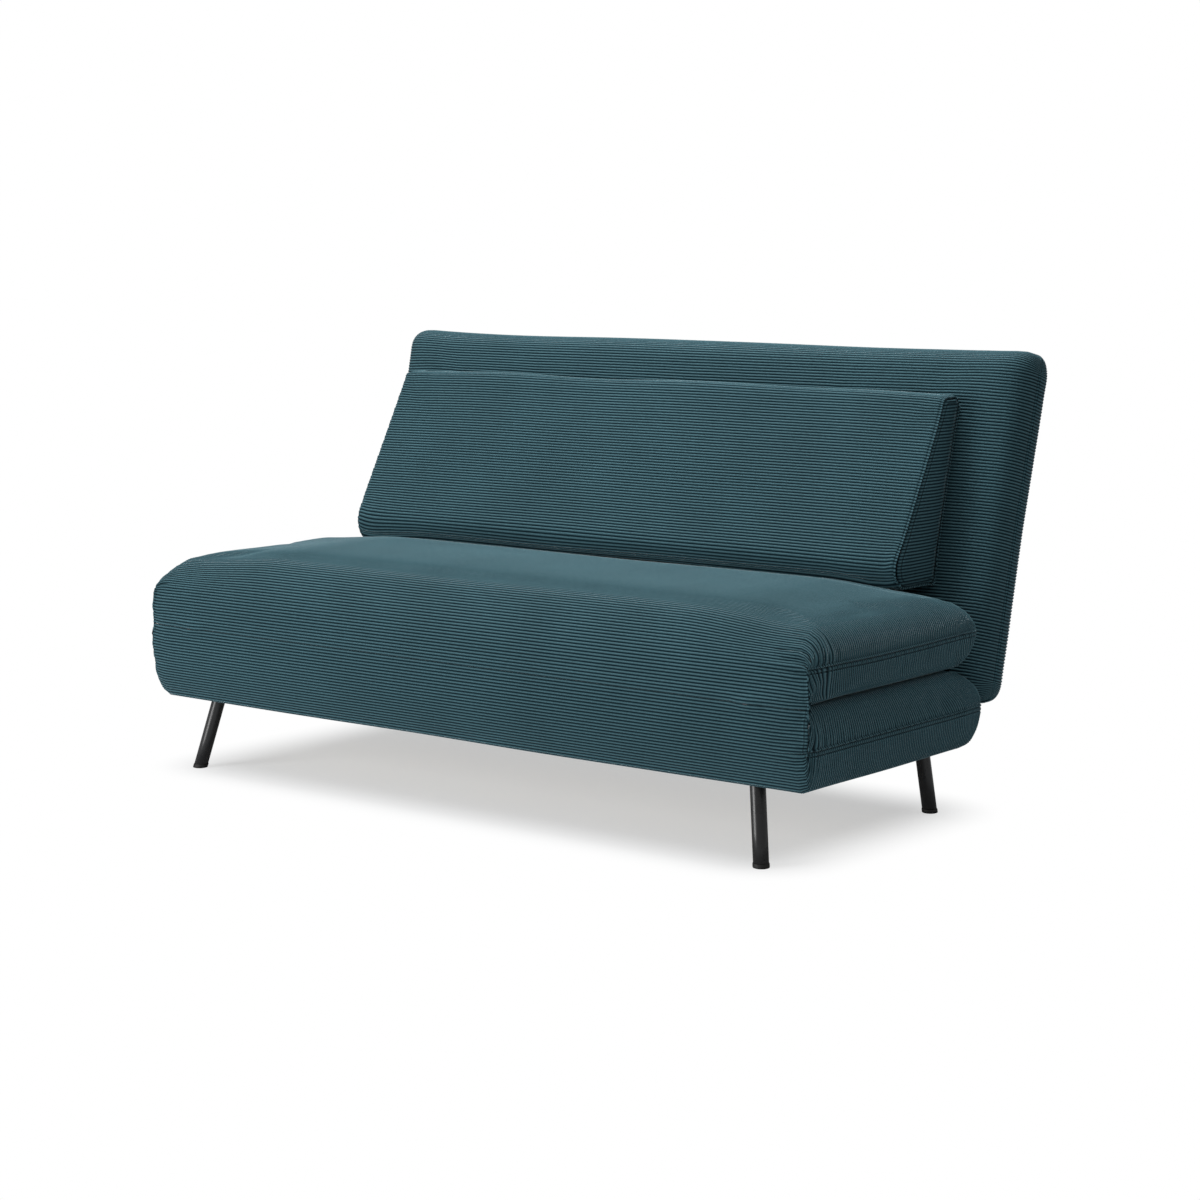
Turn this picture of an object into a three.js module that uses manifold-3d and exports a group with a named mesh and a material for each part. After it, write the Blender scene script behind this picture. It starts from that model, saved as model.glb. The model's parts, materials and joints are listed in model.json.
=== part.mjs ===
// Click clack sofa bed in corduroy: a seat of two stacked sections that fold open at the front,
// a reclining backrest and a loose wedge cushion, on four splayed legs.
// Millimetres, +Z up, +X to the right seen from the front, the front faces -Y.
// It is laid out with the front fold at y = 0 and the floor at z = 0, and centred in depth at the end.

import * as THREE from "three";
import Module from "manifold-3d";
import { mergeVertices } from "three/addons/utils/BufferGeometryUtils.js";

const wasm = await Module();
wasm.setup();

// Driving dimensions

const sofaWidth = 1600;
const undersideHeight = 140;
const lowerThickness = 148;
const upperThickness = 136;
const seatCrown = 14;
const stackGap = 0.6;
const upperDepth = 570;
const lowerOverhang = 22;
const backSetIn = 20;
const backLength = 676;
const backThickness = 120;
const backCrown = 5;
const backLean = THREE.MathUtils.degToRad(14.6);
const wedgeWidth = 1360;
const wedgeHeight = 342;
const wedgeBottomDepth = 163;
const wedgeTopDepth = 67;
const wedgeShift = -20;

// Soft edges

const sideRoll = 48;
const lowerSideRoll = 34;
const sidePull = 7;
const noseRadius = 5;
const upperFrontRound = 85;
const lowerFrontRound = 34;
const frontCornerInset = 8;
const upperRearRoll = 75;
const upperRearInnerRoll = 50;
const lowerRearRoll = 55;
const lowerRearInnerRoll = 130;
const rearCornerInset = 13;
const rearPull = 5;
const backRoll = 45;
const backCornerInset = 26;

// Covers and foam

const coverWall = 14;
const sleeveMargin = 62;
const frameRearMargin = 45;
const foamBeforeTube = 20;
const backSleeveMargin = 62;
const foamGap = 0.4;
const softGap = 0.5;
const zipHeight = 26;
const zipBesideBracket = 16;
const wedgeZipInset = 88;

// Steel

const tubeSize = 25;
const tubeWall = 2;
const tubeInset = 4;
const slatThickness = 6;
const slatWidth = 70;
const slatCount = 5;
const seatGap = 0.3;
const legDiameter = 28;
const legInsetX = 108;
const frontLegInset = 31;
const frontLegSplay = [29, 29];
const rearLegInset = 8;
const rearLegSplay = [12, 18];
const legPlateSize = 48;
const legPlateThickness = 4;
const glideHeight = 8;
const glideDiameter = 30;

// Fold hinge at the front edge

const foldAxisForward = 0.5;
const foldHingeInset = 120;
const foldPlateThickness = 4;
const foldEyeRadius = 4;
const foldPinRadius = 2;
const foldPinHead = 1.2;
const foldArmWidth = 16;
const hingeSlotClearance = 2;
const runningClearance = 0.5;

// Recline hinge at the bottom of the backrest

const pivotBehindLower = 48;
const pivotToFace = 42;
const pivotToEnd = 40;
const reclineInset = 96;
const reclinePlateThickness = 5;
const reclineEyeRadius = 14;
const ratchetRadius = 21;
const ratchetToothDepth = 3;
const ratchetTeeth = 24;
const reclinePinRadius = 5;
const reclinePinHead = 3;
const reclineArmWidth = 26;
const reclineArmPastTube = 43;
const pawlLength = 26;
const pawlWidth = 9;

// Support leg behind the upper section

const supportInset = 190;
const supportPivotHeight = 135;
const supportPivotBehind = 18;
const supportTube = 18;
const supportWall = 2;
const supportLean = 12;
const supportBracketThickness = 4;
const supportBracketWidth = 22;
const supportGlideHeight = 6;
const supportGlideDiameter = 22;
const supportAxleOverhang = 14;
const supportLegBeside = 24;
const floorGap = 0.5;

// How far a cutting block runs past the body that it cuts

const bodyCut = 40;

// Wedge cushion edges

const wedgeCornerRadius = 16;
const wedgeCrown = 9;
const wedgeEdgeRound = 9;
const wedgeEndPull = 4;

// Places worked out from the sizes above

const halfWidth = sofaWidth / 2;
const backHalfWidth = halfWidth - backSetIn;
const lowerDepth = upperDepth + lowerOverhang;
const foamRearMargin = frameRearMargin + tubeSize + foamBeforeTube;
const foldHeight = undersideHeight + lowerThickness + stackGap / 2;
const lowerTop = foldHeight - stackGap / 2;
const upperBottom = foldHeight + stackGap / 2;
const upperTop = upperBottom + upperThickness + seatCrown;
const pivotY = lowerDepth + pivotBehindLower;
const pivotHeight = lowerTop - pivotToFace;
const backHalf = backThickness / 2;
const backMid = backHalf + backCrown - pivotToFace;
const pinPlay = runningClearance / 2 + seatGap;
const foldSlotHalf = foldPlateThickness + pinPlay + foldPinHead + hingeSlotClearance;
const reclineSlotHalf = reclinePlateThickness + pinPlay + reclinePinHead + hingeSlotClearance;
const supportSlotHalf = supportBracketThickness / 2 + hingeSlotClearance;
const zipHalf = halfWidth - supportInset - supportSlotHalf - zipBesideBracket;

// Materials

function finish(color, roughness, metalness) {
  return new THREE.MeshStandardMaterial({ color, roughness, metalness });
}

const corduroy = finish(0x35505a, 0.9, 0);
const foam = finish(0xe6dcc0, 0.95, 0);
const frameSteel = finish(0x3b3d40, 0.55, 0.6);
const legSteel = finish(0x141414, 0.35, 0.5);
const hingeSteel = finish(0x17181a, 0.45, 0.6);
const slatWood = finish(0xcfa873, 0.7, 0);
const glidePlastic = finish(0x0c0c0c, 0.6, 0);

// Solids

function solidOf(geometry) {
  const bare = geometry.clone();
  bare.deleteAttribute("normal");
  bare.deleteAttribute("uv");
  const merged = mergeVertices(bare);
  return new wasm.Manifold(new wasm.Mesh({
    numProp: 3,
    vertProperties: new Float32Array(merged.attributes.position.array),
    triVerts: new Uint32Array(merged.index.array),
  }));
}

function geometryOf(solid) {
  const mesh = solid.getMesh();
  const geometry = new THREE.BufferGeometry();
  geometry.setAttribute("position", new THREE.BufferAttribute(new Float32Array(mesh.vertProperties), 3));
  geometry.setIndex(new THREE.BufferAttribute(new Uint32Array(mesh.triVerts), 1));
  geometry.computeVertexNormals();
  return geometry;
}

function cut(geometry, tools) {
  let solid = solidOf(geometry);
  for (const tool of tools) {
    solid = solid.subtract(solidOf(tool));
  }
  return geometryOf(solid);
}

function join(geometries) {
  let solid = solidOf(geometries[0]);
  for (const geometry of geometries.slice(1)) {
    solid = solid.add(solidOf(geometry));
  }
  return geometryOf(solid);
}

function addPiece(parent, name, geometry, material) {
  const mesh = new THREE.Mesh(geometry, material);
  mesh.name = name;
  parent.add(mesh);
  return mesh;
}

// A box between two corners

function block(low, high) {
  const size = high.map((value, axis) => value - low[axis]);
  const geometry = new THREE.BoxGeometry(size[0], size[1], size[2]);
  geometry.translate((low[0] + high[0]) / 2, (low[1] + high[1]) / 2, (low[2] + high[2]) / 2);
  return geometry;
}

// A square tube along X, or along Y, between two corners, open at both ends

function squareTube(low, high, alongX) {
  const inner = tubeWall;
  const over = tubeWall;
  const hollowLow = alongX ? [low[0] - over, low[1] + inner, low[2] + inner]
    : [low[0] + inner, low[1] - over, low[2] + inner];
  const hollowHigh = alongX ? [high[0] + over, high[1] - inner, high[2] - inner]
    : [high[0] - inner, high[1] + over, high[2] - inner];
  return cut(block(low, high), [block(hollowLow, hollowHigh)]);
}

// A round bar or tube on the Z axis from z = 0 up

function roundBar(radius, length, sides, bore = 0) {
  const profile = [[bore, 0], [radius, 0], [radius, length], [bore, length], [bore, 0]];
  const points = profile.map(([r, z]) => new THREE.Vector2(r, z));
  const geometry = new THREE.LatheGeometry(bore > 0 ? points : points.slice(0, 4), sides);
  geometry.rotateX(Math.PI / 2);
  return geometry;
}

// The same bar along X, centred on x = 0

function crossBar(radius, length, sides, bore = 0) {
  const geometry = roundBar(radius, length, sides, bore);
  geometry.rotateY(Math.PI / 2);
  geometry.translate(-length / 2, 0, 0);
  return geometry;
}

// A pin along X with a round head at each end

function pinWithHeads(radius, grip, head) {
  const play = 2 * seatGap;
  const pin = crossBar(radius, grip + play + 2 * head, barSides);
  const heads = [-1, 1].map((end) => {
    const disc = crossBar(radius + head, head, barSides);
    disc.translate(end * (grip + play + head) / 2, 0, 0);
    return disc;
  });
  return join([pin, ...heads]);
}

// A flat plate in the YZ plane, from a list of [y, z] points, with round holes

function sidePlate(points, thickness, holes = []) {
  const shape = new THREE.Shape(points.map(([y, z]) => new THREE.Vector2(y, z)));
  for (const [y, z, radius] of holes) {
    const hole = new THREE.Path();
    hole.absarc(y, z, radius, 0, Math.PI * 2, true);
    shape.holes.push(hole);
  }
  const options = { depth: thickness, bevelEnabled: false, curveSegments: holeSegments };
  const geometry = new THREE.ExtrudeGeometry(shape, options);
  geometry.applyMatrix4(new THREE.Matrix4().makeBasis(
    new THREE.Vector3(0, 1, 0), new THREE.Vector3(0, 0, 1), new THREE.Vector3(1, 0, 0)));
  geometry.translate(-thickness / 2, 0, 0);
  return geometry;
}

// Outline of a straight arm with round ends between two points

function armOutline(from, to, fromRadius, toRadius) {
  const steps = armEndSteps;
  const angle = Math.atan2(to[1] - from[1], to[0] - from[0]);
  const outline = [];
  for (let k = 0; k <= steps; k += 1) {
    const turn = angle + Math.PI / 2 + Math.PI * k / steps;
    outline.push([from[0] + fromRadius * Math.cos(turn), from[1] + fromRadius * Math.sin(turn)]);
  }
  for (let k = 0; k <= steps; k += 1) {
    const turn = angle - Math.PI / 2 + Math.PI * k / steps;
    outline.push([to[0] + toRadius * Math.cos(turn), to[1] + toRadius * Math.sin(turn)]);
  }
  return outline;
}

// Padded form: two sheets of fabric, outer and inner, that meet in a seam all round.
// outer, inner and seam hold one [depth, height] point for each line of the sheets. At each side the
// sheets roll over and draw together on the seam points, as corduroy does on a side seam.

const rollSteps = 4;
const spanSteps = 8;

function rollStations(halfSpan, roll) {
  const stations = [];
  for (let k = 0; k < rollSteps; k += 1) {
    const turn = Math.PI / 2 * (1 - k / rollSteps);
    const out = Math.sin(turn);
    stations.push({ x: -(halfSpan - roll + roll * out), out: -out, swell: Math.cos(turn) });
  }
  for (let k = 0; k <= spanSteps; k += 1) {
    stations.push({ x: (halfSpan - roll) * (2 * k / spanSteps - 1), out: 0, swell: 1 });
  }
  for (let k = 1; k <= rollSteps; k += 1) {
    const turn = Math.PI / 2 * k / rollSteps;
    stations.push({ x: halfSpan - roll + roll * Math.sin(turn), out: Math.sin(turn), swell: Math.cos(turn) });
  }
  stations[0].swell = 0;
  stations[stations.length - 1].swell = 0;
  return stations;
}

function paddedForm(form) {
  const stations = rollStations(form.halfSpan, form.roll);
  const lines = form.outer.length;
  const depth = form.seam[lines - 1][0] - form.seam[0][0];
  const positions = [];
  const index = [];
  const outerAt = [];
  const innerAt = [];
  for (const station of stations) {
    const bell = 1 - (station.x / form.halfSpan) ** 4;
    const outerRow = [];
    const innerRow = [];
    for (let j = 0; j < lines; j += 1) {
      const share = THREE.MathUtils.clamp((form.seam[j][0] - form.seam[0][0]) / depth, 0, 1);
      const bow = 1 - (2 * share - 1) ** 4;
      const x = station.x - station.out * form.pull * Math.sin(Math.PI * share);
      const place = (point, crown) => {
        const y = form.seam[j][0] + (point[0] - form.seam[j][0]) * station.swell;
        const z = form.seam[j][1] + (point[1] - form.seam[j][1] + crown * bow * bell) * station.swell;
        positions.push(x, y - form.rearPull * bell * share ** 4, z);
        return positions.length / 3 - 1;
      };
      outerRow.push(place(form.outer[j], form.outerCrown));
      const shared = j === 0 || j === lines - 1 || station.swell === 0;
      innerRow.push(shared ? outerRow[j] : place(form.inner[j], form.innerCrown));
    }
    outerAt.push(outerRow);
    innerAt.push(innerRow);
  }
  const sheet = (rows, flip) => {
    for (let i = 0; i < stations.length - 1; i += 1) {
      for (let j = 0; j < lines - 1; j += 1) {
        const corners = [rows[i][j], rows[i + 1][j], rows[i + 1][j + 1], rows[i][j + 1]];
        const [a, b, c, d] = flip ? corners.slice().reverse() : corners;
        index.push(a, b, c, a, c, d);
      }
    }
  };
  sheet(outerAt, false);
  sheet(innerAt, true);
  const geometry = new THREE.BufferGeometry();
  geometry.setAttribute("position", new THREE.Float32BufferAttribute(positions, 3));
  geometry.setIndex(index);
  return geometry;
}

// A quarter of an ellipse from a flat face to the seam

function rollPoints(flatPoint, seamPoint, steps) {
  const points = [];
  for (let k = 1; k <= steps; k += 1) {
    const turn = Math.PI / 2 * k / steps;
    points.push([
      flatPoint[0] + (seamPoint[0] - flatPoint[0]) * Math.sin(turn),
      seamPoint[1] + (flatPoint[1] - seamPoint[1]) * Math.cos(turn),
    ]);
  }
  return points;
}

// How finely the curves are cut up

const noseSteps = 2;
const frontSteps = 6;
const flatSteps = 4;
const rearSteps = 4;
const backFlatSteps = 8;
const barSides = 20;
const holeSegments = 8;
const armEndSteps = 8;
const wedgeCornerSteps = 3;
const wedgeEdgeSteps = 4;
const wedgeSpanSteps = 5;
const wedgeRoundSteps = 2;
const frontEdge = 2;

// A seat section, measured from the fold: height runs away from the other section

function seatSection({ depth, thickness, frontRound, outerRoll, innerRoll, roll, crown }) {
  const mid = thickness / 2;
  const outer = [];
  const inner = [];
  const seam = [];
  for (let k = 0; k <= noseSteps; k += 1) {
    const turn = Math.PI / 2 * k / noseSteps;
    outer.push([noseRadius * (1 - Math.sin(turn)), noseRadius * (1 - Math.cos(turn))]);
  }
  for (let k = 1; k <= frontSteps; k += 1) {
    const turn = Math.PI / 2 * k / frontSteps;
    outer.push([frontRound * (1 - Math.cos(turn)), noseRadius + (thickness - noseRadius) * Math.sin(turn)]);
  }
  const frontLines = outer.length;
  for (let j = 0; j < frontLines; j += 1) {
    const share = outer[j][0] / frontRound;
    seam.push([frontCornerInset + share * (frontRound - frontCornerInset), Math.min(outer[j][1], mid)]);
    inner.push([noseRadius + (frontRound - noseRadius) * j / (frontLines - 1), 0]);
  }
  for (let k = 1; k <= flatSteps; k += 1) {
    const share = k / flatSteps;
    const outerY = frontRound + (depth - outerRoll - frontRound) * share;
    outer.push([outerY, thickness]);
    inner.push([frontRound + (depth - innerRoll - frontRound) * share, 0]);
    seam.push([outerY, mid]);
  }
  outer.push(...rollPoints([depth - outerRoll, thickness], [depth, mid], rearSteps));
  inner.push(...rollPoints([depth - innerRoll, 0], [depth, mid], rearSteps));
  for (let k = 1; k <= rearSteps; k += 1) {
    const run = outerRoll - rearCornerInset;
    seam.push([depth - outerRoll + run * Math.sin(Math.PI / 2 * k / rearSteps), mid]);
  }
  return {
    outer, inner, seam, halfSpan: halfWidth, roll, pull: sidePull, rearPull,
    outerCrown: crown, innerCrown: 0,
  };
}

// Frame of a section: four square tubes round a rectangle, lying between two heights

function addFrame(parent, name, low, high, ends = ["front", "rear"]) {
  const [x0, y0, z0] = low;
  const [x1, y1, z1] = high;
  const inY0 = y0 + tubeSize + seatGap;
  const inY1 = y1 - tubeSize - seatGap;
  const tubes = [
    [ends[0], [x0, y0, z0], [x1, y0 + tubeSize, z1], true],
    [ends[1], [x0, y1 - tubeSize, z0], [x1, y1, z1], true],
    ["left", [x0, inY0, z0], [x0 + tubeSize, inY1, z1], false],
    ["right", [x1 - tubeSize, inY0, z0], [x1, inY1, z1], false],
  ];
  for (const [end, tubeLow, tubeHigh, alongX] of tubes) {
    addPiece(parent, `${name}_${end}_tube`, squareTube(tubeLow, tubeHigh, alongX), frameSteel);
  }
}

const sides = [["left", -1], ["right", 1]];
const assembly = new THREE.Group();
const baseBody = new THREE.Group();
const upperBody = new THREE.Group();
const supportBody = new THREE.Group();
const backBody = new THREE.Group();
const wedgeBody = new THREE.Group();

// Lower seat section: cover open underneath, foam, slats and frame

const sleeveX = halfWidth - sleeveMargin;
const frameBottom = undersideHeight + legPlateThickness + seatGap;
const frameTop = frameBottom + tubeSize;
const slatTop = frameTop + seatGap + slatThickness;
const lowerFrameRear = lowerDepth - frameRearMargin;
const lowerFoamRear = lowerDepth - foamRearMargin;

function lowerSlots() {
  const slots = [];
  for (const [, side] of sides) {
    const foldX = side * (halfWidth - foldHingeInset);
    const foldReach = foldEyeRadius + hingeSlotClearance;
    slots.push(block([foldX - foldSlotHalf, -bodyCut, frameBottom],
      [foldX + foldSlotHalf, sleeveMargin + tubeInset, lowerTop + bodyCut]));
    slots.push(block([foldX - foldSlotHalf, -bodyCut, lowerTop - foldReach],
      [foldX + foldSlotHalf, foldReach, lowerTop + bodyCut]));
    const reclineX = side * (halfWidth - reclineInset);
    slots.push(block([reclineX - reclineSlotHalf, lowerFoamRear - bodyCut, undersideHeight - bodyCut],
      [reclineX + reclineSlotHalf, lowerDepth + bodyCut, lowerTop + bodyCut]));
  }
  return slots;
}

function legPlaces() {
  const places = [];
  const rows = [["front", frontLegInset, -1, frontLegSplay],
    ["rear", lowerDepth - rearLegInset, 1, rearLegSplay]];
  for (const [row, footY, outward, splay] of rows) {
    for (const [sideName, side] of sides) {
      const foot = [side * (halfWidth - legInsetX), footY];
      const lean = [side * splay[0], outward * splay[1]];
      places.push({ name: `${row}_${sideName}`, foot, lean, top: [foot[0] - lean[0], foot[1] - lean[1]] });
    }
  }
  return places;
}

function addLowerSection() {
  const form = seatSection({
    depth: lowerDepth, thickness: lowerThickness, frontRound: lowerFrontRound,
    outerRoll: lowerRearRoll, innerRoll: lowerRearInnerRoll, roll: lowerSideRoll, crown: 0,
  });
  const shell = paddedForm(form);
  shell.applyMatrix4(new THREE.Matrix4().makeScale(1, 1, -1));
  shell.setIndex(Array.from(shell.index.array).reverse());
  shell.translate(0, 0, lowerTop);
  const low = undersideHeight - coverWall;
  const sleeves = [
    block([-sleeveX, sleeveMargin, low], [sleeveX, lowerFrameRear, slatTop + foamGap]),
    block([-sleeveX, sleeveMargin, low], [sleeveX, lowerFoamRear, lowerTop - coverWall]),
  ];
  const plateHalf = legPlateSize / 2 + hingeSlotClearance;
  const pockets = legPlaces().map(({ top }) => block(
    [top[0] - plateHalf, top[1] - plateHalf, low],
    [top[0] + plateHalf, top[1] + plateHalf, frameBottom]));
  addPiece(baseBody, "lower_cover", cut(shell, [...sleeves, ...pockets, ...lowerSlots()]), corduroy);
  const x = sleeveX - tubeInset;
  const front = sleeveMargin + tubeInset;
  const rear = lowerFrameRear - tubeInset;
  addFrame(baseBody, "lower_frame", [-x, front, frameBottom], [x, rear, frameTop]);
  const pitch = (2 * x - slatWidth) / (slatCount - 1);
  for (let k = 0; k < slatCount; k += 1) {
    const start = -x + k * pitch;
    const slat = block([start, front + seatGap, frameTop + seatGap],
      [start + slatWidth, rear - seatGap, slatTop]);
    addPiece(baseBody, `lower_slat_${k + 1}`, slat, slatWood);
  }
  const core = block([-sleeveX + foamGap, sleeveMargin + foamGap, slatTop + foamGap],
    [sleeveX - foamGap, lowerFoamRear - foamGap, lowerTop - coverWall - foamGap]);
  addPiece(baseBody, "lower_foam", cut(core, lowerSlots()), foam);
}

// Splayed legs with a plate on top, and their glides

function splayed(geometry, height, lean) {
  return geometry.applyMatrix4(new THREE.Matrix4().set(
    1, 0, -lean[0] / height, 0,
    0, 1, -lean[1] / height, 0,
    0, 0, 1, 0,
    0, 0, 0, 1));
}

function addLegs() {
  const plateBottom = frameBottom - seatGap - legPlateThickness;
  const start = glideHeight + seatGap;
  const half = legPlateSize / 2;
  for (const { name, foot, lean, top } of legPlaces()) {
    const tube = roundBar(legDiameter / 2, plateBottom + legPlateThickness / 2 - start, barSides);
    tube.translate(0, 0, start);
    splayed(tube, plateBottom, lean).translate(foot[0], foot[1], 0);
    const plate = block([top[0] - half, top[1] - half, plateBottom],
      [top[0] + half, top[1] + half, plateBottom + legPlateThickness]);
    addPiece(baseBody, `leg_${name}`, join([tube, plate]), legSteel);
    const glide = splayed(roundBar(glideDiameter / 2, glideHeight, barSides), plateBottom, lean);
    glide.translate(foot[0], foot[1], 0);
    addPiece(baseBody, `glide_${name}`, glide, glidePlastic);
  }
}

// Upper seat section, laid out with its inner face at height zero

const upperMid = upperThickness / 2;
const upperFrameRear = upperDepth - frameRearMargin;
const upperFoamRear = upperDepth - foamRearMargin;
const axleY = upperDepth + supportPivotBehind;

function upperSlots() {
  const slots = [];
  for (const [, side] of sides) {
    const foldX = side * (halfWidth - foldHingeInset);
    const foldReach = foldEyeRadius + hingeSlotClearance;
    slots.push(block([foldX - foldSlotHalf, -bodyCut, -bodyCut],
      [foldX + foldSlotHalf, sleeveMargin + tubeInset, upperMid + foldArmWidth]));
    slots.push(block([foldX - foldSlotHalf, -bodyCut, -bodyCut],
      [foldX + foldSlotHalf, foldReach, foldReach]));
    const supportX = side * (halfWidth - supportInset);
    slots.push(block(
      [supportX - supportSlotHalf, upperFrameRear - tubeInset, upperMid - supportBracketWidth],
      [supportX + supportSlotHalf, upperDepth + bodyCut, upperThickness + bodyCut]));
  }
  return slots;
}

function addUpperSection() {
  const form = seatSection({
    depth: upperDepth, thickness: upperThickness, frontRound: upperFrontRound,
    outerRoll: upperRearRoll, innerRoll: upperRearInnerRoll, roll: sideRoll, crown: seatCrown,
  });
  const shell = paddedForm(form);
  const frameHalf = tubeSize / 2 + foamGap;
  const sleeves = [
    block([-sleeveX, sleeveMargin, coverWall], [sleeveX, upperFoamRear, upperThickness - coverWall]),
    block([-sleeveX, sleeveMargin, upperMid - frameHalf], [sleeveX, upperFrameRear, upperMid + frameHalf]),
    block([-zipHalf, upperFoamRear, upperMid - zipHeight / 2],
      [zipHalf, upperDepth + bodyCut, upperMid + zipHeight / 2]),
  ];
  addPiece(upperBody, "upper_cover", cut(shell, [...sleeves, ...upperSlots()]), corduroy);
  const x = sleeveX - tubeInset;
  const halfTube = tubeSize / 2;
  addFrame(upperBody, "upper_frame", [-x, sleeveMargin + tubeInset, upperMid - halfTube],
    [x, upperFrameRear - tubeInset, upperMid + halfTube]);
  const layers = [["inner", coverWall + foamGap, upperMid - frameHalf],
    ["outer", upperMid + frameHalf, upperThickness - coverWall - foamGap]];
  for (const [layer, bottom, top] of layers) {
    const core = block([-sleeveX + foamGap, sleeveMargin + foamGap, bottom],
      [sleeveX - foamGap, upperFoamRear - foamGap, top]);
    addPiece(upperBody, `upper_foam_${layer}`, cut(core, upperSlots()), foam);
  }
}

// Fold hinges: an arm on each frame, side by side on one pin

function addFoldHinges() {
  const armHalf = foldArmWidth / 2;
  const frameFace = sleeveMargin + tubeInset - seatGap - armHalf;
  const hole = [-foldAxisForward, foldHeight, foldPinRadius + seatGap];
  const axis = [hole[0], hole[1]];
  const upperEnd = [frameFace, upperBottom + upperMid];
  const lowerEnd = [frameFace, frameBottom + tubeSize / 2];
  const shift = (foldPlateThickness + runningClearance) / 2;
  for (const [sideName, side] of sides) {
    const x = side * (halfWidth - foldHingeInset);
    const lower = sidePlate(armOutline(axis, lowerEnd, foldEyeRadius, armHalf), foldPlateThickness, [hole]);
    lower.translate(x + shift, 0, 0);
    addPiece(baseBody, `fold_arm_lower_${sideName}`, lower, hingeSteel);
    const upper = sidePlate(armOutline(axis, upperEnd, foldEyeRadius, armHalf), foldPlateThickness, [hole]);
    upper.translate(x - shift, 0, -upperBottom);
    addPiece(upperBody, `fold_arm_upper_${sideName}`, upper, hingeSteel);
    const pin = pinWithHeads(foldPinRadius, 2 * foldPlateThickness + runningClearance, foldPinHead);
    pin.translate(x, axis[0], axis[1] - upperBottom);
    addPiece(upperBody, `fold_pin_${sideName}`, pin, hingeSteel);
  }
}

// Support legs behind the upper section: they stand on the floor once it is folded open

function addSupportBrackets() {
  for (const [sideName, side] of sides) {
    const half = supportBracketWidth / 2;
    const start = [upperFrameRear - tubeInset + seatGap + half, upperMid];
    const outline = armOutline(start, [axleY, supportPivotHeight], half, half);
    const hole = [axleY, supportPivotHeight, supportTube / 2 + seatGap];
    const bracket = sidePlate(outline, supportBracketThickness, [hole]);
    bracket.translate(side * (halfWidth - supportInset), 0, 0);
    addPiece(upperBody, `support_bracket_${sideName}`, bracket, hingeSteel);
  }
}

function addSupportLegs() {
  const axleHeight = upperBottom + supportPivotHeight;
  const radius = supportTube / 2;
  const halfAxle = halfWidth - supportInset + supportAxleOverhang;
  const axle = crossBar(radius, 2 * halfAxle, barSides, radius - supportWall);
  axle.translate(0, axleY, axleHeight);
  addPiece(supportBody, "support_axle", axle, legSteel);
  const reach = foldHeight - stackGap / 2 - supportPivotHeight - floorGap;
  const length = reach - radius - seatGap - supportGlideHeight - seatGap;
  for (const [sideName, side] of sides) {
    const x = side * (halfWidth - supportInset - supportLegBeside);
    const leg = roundBar(radius, length, barSides);
    leg.translate(0, 0, -radius - seatGap - length);
    splayed(leg, reach, [0, -supportLean]).translate(x, axleY, axleHeight);
    addPiece(supportBody, `support_leg_${sideName}`, leg, legSteel);
    const glide = roundBar(supportGlideDiameter / 2, supportGlideHeight, barSides);
    glide.translate(0, 0, -reach);
    splayed(glide, reach, [0, -supportLean]).translate(x, axleY, axleHeight);
    addPiece(supportBody, `support_glide_${sideName}`, glide, glidePlastic);
  }
}

// Backrest, laid out lying on its back round the recline pivot: depth runs up the backrest,
// height runs from the pivot towards the front face

const backEnd = -pivotToEnd;
const backTop = backLength - pivotToEnd;
const backFrameLow = backEnd + backSleeveMargin;
const backFrameHigh = backTop - backSleeveMargin;
const armHalfWidth = backMid - tubeSize / 2 - seatGap;
const backSleeveX = backHalfWidth - sleeveMargin;
const reclineArmReach = backFrameLow + tubeSize + reclineArmPastTube;

function backSlots() {
  const armRoom = armHalfWidth + hingeSlotClearance;
  return sides.map(([, side]) => {
    const x = side * (halfWidth - reclineInset);
    return block([x - reclineSlotHalf, backEnd - bodyCut, -backThickness],
      [x + reclineSlotHalf, reclineArmReach + armRoom, armRoom]);
  });
}

function backEndSlots() {
  const reach = ratchetRadius + hingeSlotClearance;
  return sides.map(([, side]) => {
    const x = side * (halfWidth - reclineInset);
    return block([x - reclineSlotHalf, backEnd - bodyCut, -backThickness],
      [x + reclineSlotHalf, reach, backThickness]);
  });
}

function backForm() {
  const outer = [[backEnd, -backMid]];
  const inner = [[backEnd, -backMid]];
  const seam = [[backEnd + backCornerInset, -backMid]];
  const low = backEnd + backRoll;
  const high = backTop - backRoll;
  for (let k = rearSteps - 1; k >= 0; k -= 1) {
    const turn = Math.PI / 2 * k / rearSteps;
    const y = low - backRoll * Math.sin(turn);
    const rise = backHalf * Math.cos(turn);
    outer.push([y, rise - backMid]);
    inner.push([y, -rise - backMid]);
    seam.push([low - (backRoll - backCornerInset) * Math.sin(turn), -backMid]);
  }
  for (let k = 1; k <= backFlatSteps; k += 1) {
    const y = low + (high - low) * k / backFlatSteps;
    outer.push([y, backHalf - backMid]);
    inner.push([y, -backHalf - backMid]);
    seam.push([y, -backMid]);
  }
  for (let k = 1; k <= rearSteps; k += 1) {
    const turn = Math.PI / 2 * k / rearSteps;
    const y = high + backRoll * Math.sin(turn);
    const rise = k === rearSteps ? 0 : backHalf * Math.cos(turn);
    outer.push([y, rise - backMid]);
    inner.push([y, -rise - backMid]);
    seam.push([high + (backRoll - backCornerInset) * Math.sin(turn), -backMid]);
  }
  return {
    outer, inner, seam, halfSpan: backHalfWidth, roll: sideRoll, pull: sidePull, rearPull,
    outerCrown: backCrown, innerCrown: -backCrown,
  };
}

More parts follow.
